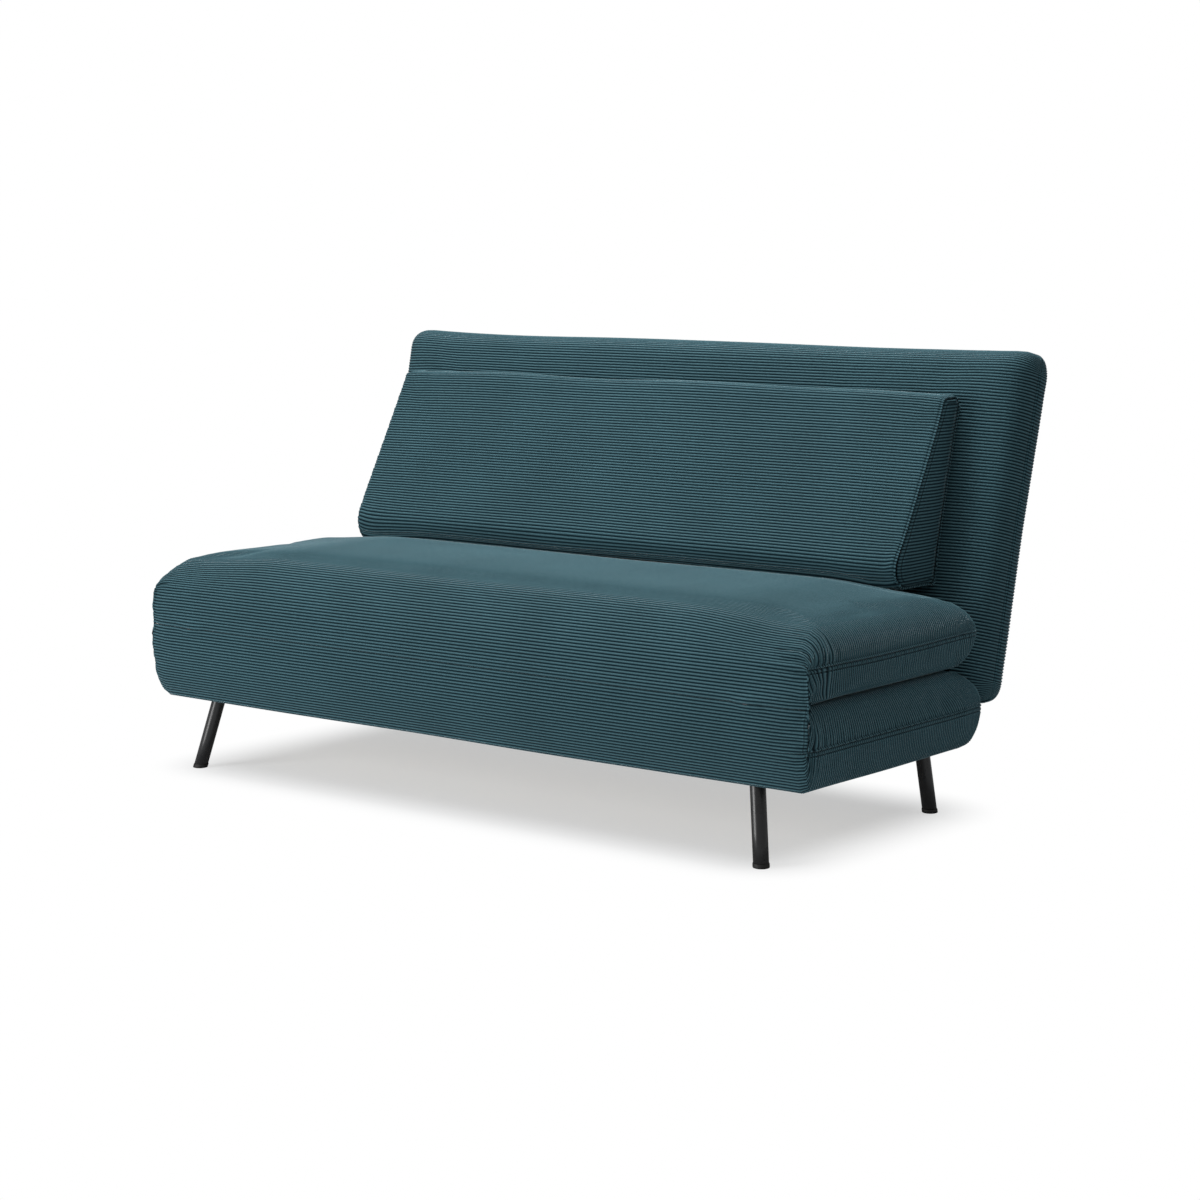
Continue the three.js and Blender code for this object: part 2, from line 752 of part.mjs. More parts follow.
function addBackrest() {
  const frameHalf = tubeSize / 2 + foamGap;
  const front = backHalf - backMid - coverWall;
  const rear = -backHalf - backMid + coverWall;
  const foamLow = backFrameLow - tubeInset;
  const foamHigh = backFrameHigh + tubeInset;
  const sleeves = [
    block([-backSleeveX, foamLow, rear], [backSleeveX, foamHigh, front]),
    block([-zipHalf, backEnd - bodyCut, -backMid - zipHeight / 2],
      [zipHalf, foamLow, -backMid + zipHeight / 2]),
  ];
  const cuts = [...sleeves, ...backSlots(), ...backEndSlots()];
  addPiece(backBody, "backrest_cover", cut(paddedForm(backForm()), cuts), corduroy);
  const x = backSleeveX - tubeInset;
  addFrame(backBody, "backrest_frame", [-x, backFrameLow, -backMid - tubeSize / 2],
    [x, backFrameHigh, -backMid + tubeSize / 2], ["bottom", "top"]);
  const layers = [["rear", rear + foamGap, -backMid - frameHalf],
    ["front", -backMid + frameHalf, front - foamGap]];
  for (const [layer, bottom, top] of layers) {
    const core = block([-backSleeveX + foamGap, foamLow + foamGap, bottom],
      [backSleeveX - foamGap, foamHigh - foamGap, top]);
    addPiece(backBody, `backrest_foam_${layer}`, cut(core, [...backSlots(), ...backEndSlots()]), foam);
  }
}

// Recline hinges: a fixed plate on the lower frame, a toothed arm on the backrest frame,
// a pin and a pawl

function ratchetOutline() {
  const outline = [];
  for (let k = 0; k < ratchetTeeth; k += 1) {
    const turn = Math.PI * 2 * k / ratchetTeeth;
    const half = Math.PI / ratchetTeeth;
    outline.push([ratchetRadius * Math.cos(turn), ratchetRadius * Math.sin(turn)]);
    const root = ratchetRadius - ratchetToothDepth;
    outline.push([root * Math.cos(turn + half), root * Math.sin(turn + half)]);
  }
  return outline;
}

function addReclineHinges() {
  const shift = (reclinePlateThickness + runningClearance) / 2;
  const holeRadius = reclinePinRadius + seatGap;
  const foot = [lowerFrameRear - tubeInset + seatGap + reclineArmWidth / 2, frameBottom + tubeSize / 2];
  const pivot = [pivotY, pivotHeight];
  const toFoot = Math.atan2(foot[1] - pivot[1], foot[0] - pivot[0]);
  for (const [sideName, side] of sides) {
    const x = side * (halfWidth - reclineInset);
    const outline = armOutline(pivot, foot, reclineEyeRadius, reclineArmWidth / 2);
    const plate = sidePlate(outline, reclinePlateThickness, [[...pivot, holeRadius]]);
    plate.translate(x + side * shift, 0, 0);
    addPiece(baseBody, `recline_plate_${sideName}`, plate, hingeSteel);
    const pawl = block([-reclinePlateThickness / 2, ratchetRadius + runningClearance, -pawlWidth / 2],
      [reclinePlateThickness / 2, ratchetRadius + runningClearance + pawlLength, pawlWidth / 2]);
    pawl.rotateX(toFoot);
    pawl.translate(x - side * shift, pivotY, pivotHeight);
    addPiece(baseBody, `recline_pawl_${sideName}`, pawl, frameSteel);
    const hub = sidePlate(ratchetOutline(), reclinePlateThickness, [[0, 0, holeRadius]]);
    const root = ratchetRadius - ratchetToothDepth - armHalfWidth / 2;
    const reach = armOutline([root, 0], [reclineArmReach, 0], armHalfWidth / 2, armHalfWidth);
    const arm = join([hub, sidePlate(reach, reclinePlateThickness)]);
    arm.translate(x - side * shift, 0, 0);
    addPiece(backBody, `recline_arm_${sideName}`, arm, hingeSteel);
    const pin = pinWithHeads(reclinePinRadius, 2 * reclinePlateThickness + runningClearance, reclinePinHead);
    pin.translate(x, 0, 0);
    addPiece(backBody, `recline_pin_${sideName}`, pin, hingeSteel);
  }
}

// Wedge cushion: a rounded outline in the YZ plane, from its bottom rear corner

function wedgeCorners() {
  const lean = wedgeHeight * Math.tan(backLean);
  return [[0, 0], [lean, wedgeHeight], [lean - wedgeTopDepth, wedgeHeight], [-wedgeBottomDepth, 0]];
}

// The outline moved inwards by one distance along every edge, the corners running anticlockwise

function insetOutline(corners, distance) {
  const lines = corners.map((corner, k) => {
    const next = corners[(k + 1) % corners.length];
    const length = Math.hypot(next[0] - corner[0], next[1] - corner[1]);
    const along = [(next[0] - corner[0]) / length, (next[1] - corner[1]) / length];
    return { start: [corner[0] - along[1] * distance, corner[1] + along[0] * distance], along };
  });
  return lines.map((line, k) => {
    const before = lines[(k + lines.length - 1) % lines.length];
    const cross = before.along[0] * line.along[1] - before.along[1] * line.along[0];
    const gap = [line.start[0] - before.start[0], line.start[1] - before.start[1]];
    const run = (gap[0] * line.along[1] - gap[1] * line.along[0]) / cross;
    return [before.start[0] + before.along[0] * run, before.start[1] + before.along[1] * run];
  });
}

function wedgeRing(inset, crown) {
  const radius = wedgeCornerRadius;
  const centres = insetOutline(wedgeCorners(), radius);
  const ring = [];
  centres.forEach((centre, k) => {
    const before = centres[(k + centres.length - 1) % centres.length];
    const next = centres[(k + 1) % centres.length];
    const from = Math.atan2(centre[1] - before[1], centre[0] - before[0]) - Math.PI / 2;
    let to = Math.atan2(next[1] - centre[1], next[0] - centre[0]) - Math.PI / 2;
    if (to < from) {
      to += Math.PI * 2;
    }
    for (let step = 0; step <= wedgeCornerSteps; step += 1) {
      const turn = from + (to - from) * step / wedgeCornerSteps;
      const out = radius - inset;
      ring.push([centre[0] + out * Math.cos(turn), centre[1] + out * Math.sin(turn)]);
    }
    const span = Math.hypot(next[0] - centre[0], next[1] - centre[1]);
    const normal = [(next[1] - centre[1]) / span, -(next[0] - centre[0]) / span];
    for (let step = 1; step < wedgeEdgeSteps; step += 1) {
      const share = step / wedgeEdgeSteps;
      const swell = k === frontEdge ? crown * Math.sin(Math.PI * share) : 0;
      ring.push([
        centre[0] + (next[0] - centre[0]) * share + normal[0] * (radius - inset + swell),
        centre[1] + (next[1] - centre[1]) * share + normal[1] * (radius - inset + swell),
      ]);
    }
  });
  return ring;
}

function wedgeGeometry() {
  const half = wedgeWidth / 2;
  const rings = [];
  for (let k = -wedgeSpanSteps; k <= wedgeSpanSteps; k += 1) {
    const share = k / wedgeSpanSteps;
    rings.push({ x: (half - wedgeEdgeRound) * share, ring: wedgeRing(0, wedgeCrown * (1 - share ** 2)) });
  }
  for (const end of [-1, 1]) {
    for (let k = 1; k <= wedgeRoundSteps; k += 1) {
      const turn = Math.PI / 2 * k / wedgeRoundSteps;
      const x = end * (half - wedgeEdgeRound + (wedgeEdgeRound - wedgeEndPull) * Math.sin(turn));
      const ring = wedgeRing(wedgeEdgeRound * (1 - Math.cos(turn)), 0);
      if (end > 0) {
        rings.push({ x, ring });
      } else {
        rings.unshift({ x, ring });
      }
    }
  }
  const positions = [];
  const index = [];
  const count = rings[0].ring.length;
  rings.forEach(({ x, ring }) => ring.forEach(([y, z]) => positions.push(x, y, z)));
  for (let i = 0; i < rings.length - 1; i += 1) {
    for (let j = 0; j < count; j += 1) {
      const next = (j + 1) % count;
      const corners = [i * count + j, i * count + next, (i + 1) * count + next, (i + 1) * count + j];
      index.push(corners[0], corners[1], corners[2], corners[0], corners[2], corners[3]);
    }
  }
  const centre = wedgeCorners().reduce((sum, [y, z]) => [sum[0] + y / 4, sum[1] + z / 4], [0, 0]);
  [0, rings.length - 1].forEach((i, end) => {
    const hub = positions.length / 3;
    positions.push(end === 0 ? -half : half, centre[0], centre[1]);
    for (let j = 0; j < count; j += 1) {
      const pair = [i * count + j, i * count + (j + 1) % count];
      index.push(hub, end === 0 ? pair[1] : pair[0], end === 0 ? pair[0] : pair[1]);
    }
  });
  const geometry = new THREE.BufferGeometry();
  geometry.setAttribute("position", new THREE.Float32BufferAttribute(positions, 3));
  geometry.setIndex(index);
  return geometry;
}

function addWedge() {
  const length = wedgeWidth - 2 * wedgeEndPull;
  const core = (wall) => sidePlate(insetOutline(wedgeCorners(), wall), length - 2 * wall);
  const zipEnd = wedgeWidth / 2 - wedgeZipInset;
  const zip = block([-zipEnd, -wedgeBottomDepth / 2 - zipHeight / 2, -bodyCut],
    [zipEnd, -wedgeBottomDepth / 2 + zipHeight / 2, 2 * coverWall]);
  addPiece(wedgeBody, "wedge_cover", cut(wedgeGeometry(), [core(coverWall), zip]), corduroy);
  addPiece(wedgeBody, "wedge_foam", core(coverWall + foamGap), foam);
}

// Placing: the upper section's inner face, the backrest round its pivot, and the wedge on the seat

upperBody.position.z = upperBottom;
backBody.position.set(0, pivotY, pivotHeight);
backBody.rotation.x = Math.PI / 2 - backLean;

const wedgeBottom = upperTop + softGap;
const wedgeRise = (wedgeBottom - pivotHeight) * Math.tan(backLean);
const wedgeRear = pivotY + wedgeRise - (pivotToFace + softGap) / Math.cos(backLean);
wedgeBody.position.set(wedgeShift, wedgeRear, wedgeBottom);

addLowerSection();
addLegs();
addUpperSection();
addFoldHinges();
addSupportBrackets();
addSupportLegs();
addBackrest();
addReclineHinges();
addWedge();

// The middle of the whole depth goes to y = 0

assembly.add(baseBody, upperBody, supportBody, backBody, wedgeBody);
const reach = new THREE.Box3().setFromObject(assembly, true);
assembly.position.y = -(reach.min.y + reach.max.y) / 2;

export default assembly;
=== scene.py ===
# Looks of the corduroy sofa bed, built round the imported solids. Metres, +Z up, the front faces -Y.

import json
import math

import bpy
import numpy as np
from mathutils import Matrix, Vector


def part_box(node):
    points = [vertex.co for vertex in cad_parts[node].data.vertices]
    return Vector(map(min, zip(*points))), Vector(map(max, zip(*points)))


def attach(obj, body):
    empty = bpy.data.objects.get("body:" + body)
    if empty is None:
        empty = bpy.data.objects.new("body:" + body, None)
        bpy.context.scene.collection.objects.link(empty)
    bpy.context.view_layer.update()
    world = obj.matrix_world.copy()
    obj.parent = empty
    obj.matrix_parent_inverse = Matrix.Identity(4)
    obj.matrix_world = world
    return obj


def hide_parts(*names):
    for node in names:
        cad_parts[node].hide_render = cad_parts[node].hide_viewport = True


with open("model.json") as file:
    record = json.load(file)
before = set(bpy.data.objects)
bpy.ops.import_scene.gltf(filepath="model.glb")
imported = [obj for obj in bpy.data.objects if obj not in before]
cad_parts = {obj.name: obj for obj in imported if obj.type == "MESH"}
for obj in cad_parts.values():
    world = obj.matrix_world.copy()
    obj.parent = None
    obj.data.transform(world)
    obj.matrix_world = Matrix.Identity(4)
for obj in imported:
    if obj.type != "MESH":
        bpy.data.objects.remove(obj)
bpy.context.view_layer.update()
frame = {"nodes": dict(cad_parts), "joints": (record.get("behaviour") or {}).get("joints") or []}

nodes = frame["nodes"]
joints = {j["name"]: j for j in frame["joints"]}

# Sizes of the solids, in metres

SHIFT = joints["seat_flip"]["pos_m"][1] + 0.0005
FOLD_Z = joints["seat_flip"]["pos_m"][2]
LOWER_TOP = FOLD_Z - 0.0003
UPPER_BOTTOM = FOLD_Z + 0.0003
HALF = 0.800
STAND_OUT = 0.004
LOWER_DEPTH = 0.592
UPPER_DEPTH = 0.570
LOWER_THICK = 0.148
UPPER_THICK = 0.136
BACK_HALF_WIDTH = 0.780
BACK_STAND_OUT = 0.004
BACK_LENGTH = 0.676
BACK_HALF = 0.060
BACK_CROWN = 0.005
PIVOT_TO_FACE = 0.042
PIVOT_TO_END = 0.040
LEAN = math.radians(14.6)
PIVOT = Vector(joints["backrest_recline"]["pos_m"])
HINGE_X = 0.680
RECLINE_X = 0.704
WEDGE_WIDTH = 1.360
WEDGE_HEIGHT = 0.342
WEDGE_BOTTOM = 0.163
WEDGE_TOP = 0.067
WEDGE_SHIFT = -0.020
WEDGE_CORNER = 0.020
SEAT_CROWN = 0.014

# Corduroy: width of one rib, its height, and how many points lie across it

PITCH = 0.006
FULLNESS = 0.78
GATHER = 1.8
RIB_HEIGHT = 0.0011
ACROSS = 4


# Small helpers

def smooth(a, b, v):
    t = np.clip((v - a) / (b - a), 0, 1)
    return t * t * (3 - 2 * t)


def bump(v, centre, width):
    return np.exp(-((v - centre) / width) ** 2)


def arc(points):
    steps = np.linalg.norm(np.diff(points, axis=0), axis=1)
    return np.concatenate([[0], np.cumsum(steps)])


def at_arc(points, lengths, where):
    return np.stack([np.interp(where, lengths, points[:, k]) for k in range(points.shape[1])], axis=1)


def mesh_object(name, vertices, faces, uvs=None, seam=None, smooth_shading=True):
    mesh = bpy.data.meshes.new(name)
    mesh.vertices.add(len(vertices))
    mesh.vertices.foreach_set("co", np.asarray(vertices, np.float32).ravel())
    faces = np.asarray(faces, np.int32)
    sides = faces.shape[1]
    mesh.loops.add(faces.size)
    mesh.loops.foreach_set("vertex_index", faces.ravel())
    mesh.polygons.add(len(faces))
    mesh.polygons.foreach_set("loop_start", np.arange(0, faces.size, sides, dtype=np.int32))
    mesh.polygons.foreach_set("loop_total", np.full(len(faces), sides, np.int32))
    mesh.update(calc_edges=True)
    mesh.polygons.foreach_set("use_smooth", np.full(len(faces), smooth_shading))
    if uvs is not None:
        layer = mesh.uv_layers.new(name="cloth")
        layer.data.foreach_set("uv", np.asarray(uvs, np.float32)[faces.ravel()].ravel())
    if seam is not None:
        attribute = mesh.attributes.new("seam", "FLOAT", "POINT")
        attribute.data.foreach_set("value", np.asarray(seam, np.float32))
    mesh.validate()
    obj = bpy.data.objects.new(name, mesh)
    bpy.context.scene.collection.objects.link(obj)
    return obj


def grid_faces(ni, nj, flip=False, start=0, skip=None):
    i, j = np.meshgrid(np.arange(ni - 1), np.arange(nj - 1), indexing="ij")
    a = i * nj + j
    quads = np.stack([a, a + nj, a + nj + 1, a + 1], axis=-1)
    if flip:
        quads = quads[..., ::-1]
    if skip is not None:
        quads = quads[~skip]
    return quads.reshape(-1, 4) + start


def catmull(grid, where, axis):
    """Smooth values of a grid at fractional places along one axis."""
    grid = np.moveaxis(grid, axis, 0)
    last = grid.shape[0] - 1
    k = np.clip(np.floor(where).astype(int), 0, last - 1)
    t = (where - k).reshape((-1,) + (1,) * (grid.ndim - 1))
    before = grid[np.maximum(k - 1, 0)]
    after = grid[np.minimum(k + 2, last)]
    before = np.where((k == 0).reshape(t.shape), 2 * grid[k] - grid[k + 1], before)
    after = np.where((k + 2 > last).reshape(t.shape), 2 * grid[k + 1] - grid[k], after)
    p1, p2 = grid[k], grid[k + 1]
    m1, m2 = (p2 - before) / 2, (after - p1) / 2
    value = ((2 * t ** 3 - 3 * t ** 2 + 1) * p1 + (t ** 3 - 2 * t ** 2 + t) * m1
             + (-2 * t ** 3 + 3 * t ** 2) * p2 + (t ** 3 - t ** 2) * m2)
    return np.moveaxis(value, 0, axis)


def grid_normals(grid, flip=False):
    along_i = np.gradient(grid, axis=0)
    along_j = np.gradient(grid, axis=1)
    normal = np.cross(along_i, along_j)
    if flip:
        normal = -normal
    return normal / np.maximum(np.linalg.norm(normal, axis=-1, keepdims=True), 1e-12)


def waves(x, v, seed, size):
    """A slow uneven swell of the cloth, the same at each run."""
    rng = np.random.default_rng(seed)
    total = np.zeros(np.broadcast(x, v).shape)
    for _ in range(9):
        fx, fv = rng.uniform(1.5, 7.0), rng.uniform(1.5, 9.0)
        px, pv = rng.uniform(0, 6.28, 2)
        total += rng.uniform(0.4, 1.0) * np.sin(fx * x * 2 + px) * np.sin(fv * v * 2 + pv)
    return total / 3 * size


# Profiles: for each line of corduroy, where it runs on the outer sheet, on the inner sheet and on the
# seam that joins them, as depth and height

def seat_profile(depth, thick, front, outer_roll, inner_roll, corner, rear_corner, nose):
    mid = thick / 2
    turn = np.linspace(0, math.pi / 2, 60)
    outer = [np.stack([nose * (1 - np.sin(turn)), nose * (1 - np.cos(turn))], 1)]
    outer.append(np.stack([front * (1 - np.cos(turn)), nose + (thick - nose) * np.sin(turn)], 1)[1:])
    outer = np.concatenate(outer)
    # the lines of the front round are gathered where the side seam starts
    drawn = np.clip((outer[:, 1] - mid) / (thick - mid), 0, 1)
    turned = np.clip(outer[:, 0] / front, 0, 1)
    seam = np.stack([corner + drawn * turned ** GATHER * (front - corner), np.minimum(outer[:, 1], mid)], 1)
    along = arc(outer) / arc(outer)[-1]
    inner = np.stack([nose + (front - nose) * along, np.zeros(len(along))], 1)
    flat = np.linspace(0, 1, 60)[1:]
    outer_y = front + (depth - outer_roll - front) * flat
    outer_flat = np.stack([outer_y, np.full(59, thick)], 1)
    inner_flat = np.stack([front + (depth - inner_roll - front) * flat, np.zeros(59)], 1)
    seam_flat = np.stack([outer_y, np.full(59, mid)], 1)
    turn = turn[1:]
    full_sin, full_cos = np.sin(turn) ** FULLNESS, np.clip(np.cos(turn), 0, 1) ** FULLNESS
    outer_rear = np.stack([depth - outer_roll * (1 - full_sin), mid + mid * full_cos], 1)
    inner_rear = np.stack([depth - inner_roll * (1 - full_sin), mid - mid * full_cos], 1)
    seam_rear = np.stack([depth - outer_roll + (outer_roll - rear_corner) * np.sin(turn),
                          np.full(59, mid)], 1)
    return (np.concatenate([outer, outer_flat, outer_rear]),
            np.concatenate([inner, inner_flat, inner_rear]),
            np.concatenate([seam, seam_flat, seam_rear]))


def back_profile():
    roll, corner = 0.045, 0.022
    turn = np.linspace(math.pi / 2, 0, 60)
    low, high = -PIVOT_TO_END + roll, BACK_LENGTH - PIVOT_TO_END - roll
    mid = -(BACK_HALF + BACK_CROWN - PIVOT_TO_FACE)
    ends = [np.stack([low - roll * np.sin(turn), BACK_HALF * np.cos(turn)], 1)]
    seams = [low - (roll - corner) * np.sin(turn)]
    flat = np.linspace(low, high, 100)[1:]
    ends.append(np.stack([flat, np.full(99, BACK_HALF)], 1))
    seams.append(flat)
    turn = turn[::-1][1:]
    ends.append(np.stack([high + roll * np.sin(turn), BACK_HALF * np.cos(turn)], 1))
    seams.append(high + (roll - corner) * np.sin(turn))
    rise = np.concatenate(ends)
    seam = np.concatenate(seams)
    return (np.stack([rise[:, 0], mid + rise[:, 1]], 1), np.stack([rise[:, 0], mid - rise[:, 1]], 1),
            np.stack([seam, np.full(len(seam), mid)], 1))


# A coarse closed sheet form that the cloth simulation fills

ROLL_STEPS = 7


def stations(half, roll, spacing):
    turn = np.linspace(math.pi / 2, 0, ROLL_STEPS + 1)[:-1]
    left = -(half - roll + roll * np.sin(turn))
    count = int(round(2 * (half - roll) / spacing))
    flat = np.linspace(-(half - roll), half - roll, count + 1)
    x = np.concatenate([left, flat, -left[::-1]])
    lift = np.clip(np.cos(turn), 0, 1) ** FULLNESS
    swell = np.concatenate([lift, np.ones(count + 1), lift[::-1]])
    out = np.concatenate([-np.sin(turn), np.zeros(count + 1), np.sin(turn)[::-1]])
    swell[0] = swell[-1] = 0
    return x, swell, out


def coarse_form(profile, half, roll, pull, outer_crown, inner_crown, rear_pull, rows, spacing=0.02):
    lengths = arc(profile[0])
    where = np.linspace(0, lengths[-1], rows)
    outer, inner, seam = [at_arc(p, lengths, where) for p in profile]
    x, swell, out = stations(half, roll, spacing)
    share = np.clip((seam[:, 0] - seam[0, 0]) / (seam[-1, 0] - seam[0, 0]), 0, 1)
    bow = 1 - (2 * share - 1) ** 6
    bell = (1 - (x / half) ** 12)[:, None]
    grids = []
    for sheet, crown in ((outer, outer_crown), (inner, inner_crown)):
        gx = x[:, None] - (out * pull)[:, None] * np.sin(math.pi * share)[None]
        gu = seam[None, :, 0] + (sheet[:, 0] - seam[:, 0])[None] * swell[:, None]
        gv = seam[None, :, 1] + ((sheet[:, 1] - seam[:, 1])[None] + crown * bow[None] * bell) * swell[:, None]
        gu = gu - rear_pull * bell * (share ** 4)[None]
        grids.append(np.stack([gx, gu, gv], -1))
    grids[1][0], grids[1][-1] = grids[0][0], grids[0][-1]
    grids[1][:, 0], grids[1][:, -1] = grids[0][:, 0], grids[0][:, -1]
    return grids[0], grids[1], share


def weld(outer, inner):
    """Vertices and faces of the closed form, and where each grid point went."""
    ni, nj = outer.shape[:2]
    ids = np.arange(ni * nj).reshape(ni, nj)
    inner_ids = ids.copy()
    count = ni * nj
    inside = np.arange((ni - 2) * (nj - 2)).reshape(ni - 2, nj - 2) + count
    inner_ids[1:-1, 1:-1] = inside
    vertices = np.concatenate([outer.reshape(-1, 3), inner[1:-1, 1:-1].reshape(-1, 3)])
    faces = []
    for table, flip in ((ids, False), (inner_ids, True)):
        quads = np.stack([table[:-1, :-1], table[1:, :-1], table[1:, 1:], table[:-1, 1:]], -1)
        faces.append((quads[..., ::-1] if flip else quads).reshape(-1, 4))
    return vertices, np.concatenate(faces), ids, inner_ids


def inflate(name, vertices, faces, held, seams, cap, pressure=4.0, shrink=0.05, inset=0.003):
    """Fills a closed sheet with air in the cloth solver, and gives back the moved vertices.
    held is how firmly each vertex stays, and seams is how much the thread draws it together."""
    start = np.asarray(vertices, float)
    obj = mesh_object(name + "_fill", start, faces)
    normals = np.zeros((len(start), 3), np.float32)
    obj.data.vertex_normals.foreach_get("vector", normals.ravel())
    normals = normals.astype(float)
    begin = start - normals * inset * (1 - held)[:, None]
    obj.data.vertices.foreach_set("co", begin.astype(np.float32).ravel())
    for group_name, weights in (("held", held), ("seams", seams)):
        group = obj.vertex_groups.new(name=group_name)
        for level in np.unique(np.round(weights, 2)):
            if level > 0:
                chosen = np.nonzero(np.round(weights, 2) == level)[0].tolist()
                group.add(chosen, float(level), "REPLACE")
    cloth = obj.modifiers.new("cloth", "CLOTH")
    settings = cloth.settings
    settings.quality = 4
    settings.mass = 0.4
    settings.tension_stiffness = 18
    settings.compression_stiffness = 18
    settings.shear_stiffness = 8
    settings.bending_stiffness = 2.0
    settings.use_pressure = True
    settings.uniform_pressure_force = pressure
    settings.vertex_group_mass = "held"
    settings.pin_stiffness = 1.0
    settings.vertex_group_shrink = "seams"
    settings.shrink_min = 0.0
    settings.shrink_max = shrink
    settings.effector_weights.gravity = 0
    cloth.collision_settings.use_collision = False
    cloth.point_cache.frame_start = 1
    cloth.point_cache.frame_end = 16
    scene = bpy.context.scene
    for number in range(1, 17):
        scene.frame_set(number)
    graph = bpy.context.evaluated_depsgraph_get()
    moved = np.zeros(len(start) * 3, np.float32)
    obj.evaluated_get(graph).data.vertices.foreach_get("co", moved)
    moved = moved.reshape(-1, 3).astype(float)
    scene.frame_set(1)
    bpy.data.objects.remove(obj)
    step = moved - start
    length = np.linalg.norm(step, axis=1, keepdims=True)
    limit = cap * np.tanh(length / cap)
    return start + step / np.maximum(length, 1e-9) * limit


# Turning a coarse sheet into ribbed corduroy

def fine_places(total, close):
    """Distances along a line from one seam to the other: close together near each seam."""
    near = np.array([0, 0.8, 1.6, 2.4, 3.3, 4.3, 5.4, 6.4, 7.2, 8.0, 8.8, 9.7, 11, 12.8, 15, 18, 21.5, 25.5, 30, 35,
                     41, 48, 57, 68]) / 1000
    near = near[near < close]
    count = max(int(round((total - 2 * near[-1]) / 0.02)), 2)
    middle = np.linspace(near[-1], total - near[-1], count + 1)[1:-1]
    return np.concatenate([near, middle, total - near[::-1]])


def rib_shape(v):
    return np.abs(np.sin(math.pi * v / PITCH)) ** 0.75 * 2 - 1


def seam_lip(d):
    """The side of a seam that ends in a raised lip."""
    return 0.0024 * bump(d, 0.0026, 0.0016) - 0.0012 * bump(d, 0, 0.0010) - 0.0008 * bump(d, 0.0060, 0.0016)


def seam_band(d):
    """The side with the flat band, stitched down along its far edge."""
    return (-0.0022 * bump(d, 0, 0.0012) + 0.0010 * smooth(0.0010, 0.0026, d) * smooth(0.0078, 0.0064, d)
            - 0.0018 * bump(d, 0.0080, 0.0010) + 0.0012 * bump(d, 0.0102, 0.0014))


def seam_mark(d, seam):
    """Distance from the seam, which sets the painted shade in the seam grooves and the painted highlights on the
    ridges, with half a metre more on the band's side.
    """
    return np.minimum(d, 0.05) + (0.5 if seam is seam_band else 0.0)


def corduroy_sheet(coarse, flip, seam_rows, place, swell=None, phase=0.0, slits=(), extra_x=(), seam=seam_lip,
                   floor_at=None, gather=None):
    """The fine ribbed sheet. seam_rows says whether the first and the last line lie on a seam."""
    ni, nj = coarse.shape[:2]
    middle = coarse[ni // 2]
    lengths = arc(middle)
    total = lengths[-1]
    count = int(total / PITCH)
    v = np.concatenate([np.arange(count * ACROSS + 1) * PITCH / ACROSS, [total]])
    v = v[np.concatenate([[True], np.diff(v) > 1e-5])]
    rows = np.interp(v, lengths, np.arange(nj))
    across = arc(coarse[:, nj // 2])
    places = fine_places(across[-1], 0.08)
    columns = np.interp(places, across, np.arange(ni))
    if len(extra_x):
        xs = catmull(coarse[:, nj // 2, 0], columns, 0)
        for x in extra_x:
            nearest = np.argmin(np.abs(xs - x))
            coarse_x = coarse[:, nj // 2, 0]
            columns[nearest] = np.interp(x, coarse_x, np.arange(ni))
            xs[nearest] = x
        columns = np.sort(columns)
    grid = catmull(catmull(coarse, columns, 0), rows, 1)
    side = np.linalg.norm(np.diff(grid, axis=0), axis=2)
    from_left = np.concatenate([np.zeros((1, grid.shape[1])), np.cumsum(side, 0)])
    d_side = np.minimum(from_left, from_left[-1] - from_left)
    run = np.linalg.norm(np.diff(grid, axis=1), axis=2)
    from_start = np.concatenate([np.zeros((grid.shape[0], 1)), np.cumsum(run, 1)], axis=1)
    d_end = np.full(grid.shape[:2], 1.0)
    if seam_rows[0]:
        d_end = np.minimum(d_end, from_start)
    if seam_rows[1]:
        d_end = np.minimum(d_end, from_start[:, -1:] - from_start)
    d = np.minimum(d_side, d_end)
    normal = grid_normals(grid, flip)
    height = rib_shape(v + phase)[None] * RIB_HEIGHT * (0.35 + 0.65 * smooth(0.007, 0.013, d))
    height = height + seam(d)
    if swell is not None:
        height = height + swell(grid, v, d_side, d)
    # where the lines are drawn together at a corner the ribs crowd, and rise less
    crowd = np.gradient(from_start, axis=1) / np.maximum(np.gradient(v)[None], 1e-9)
    height = np.where(d < 0.5, height * np.clip(0.25 + crowd * 0.75, 0.25, 1), height)
    if gather is not None:
        height = height + gathers(v, d_side, grid[..., 0], *gather) * smooth(0.003, 0.016, grid[..., 2])
    grid = grid + normal * height[..., None]
    if floor_at is not None:
        grid[..., 2] = np.maximum(grid[..., 2], floor_at)
    uv = np.stack([grid[..., 0], np.broadcast_to(v + phase, grid.shape[:2])], -1)
    skip = None
    if len(slits):
        centre = (grid[:-1, :-1] + grid[1:, 1:]) / 2
        skip = np.zeros(centre.shape[:2], bool)
        for low, high in slits:
            inside = np.ones(centre.shape[:2], bool)
            for axis in range(3):
                inside &= (centre[..., axis] > low[axis]) & (centre[..., axis] < high[axis])
            skip |= inside
    faces = grid_faces(grid.shape[0], grid.shape[1], flip, 0, skip)
    return place(grid.reshape(-1, 3)), faces, uv.reshape(-1, 2), seam_mark(d, seam).reshape(-1)


def join_sheets(name, sheets):
    start, all_vertices, all_faces, all_uv, all_seam = 0, [], [], [], []
    for vertices, faces, uv, seam in sheets:
        all_vertices.append(vertices)
        all_faces.append(faces + start)
        all_uv.append(uv)
        all_seam.append(seam)
        start += len(vertices)
    obj = mesh_object(name, np.concatenate(all_vertices), np.concatenate(all_faces),
                      np.concatenate(all_uv), np.concatenate(all_seam))
    return obj


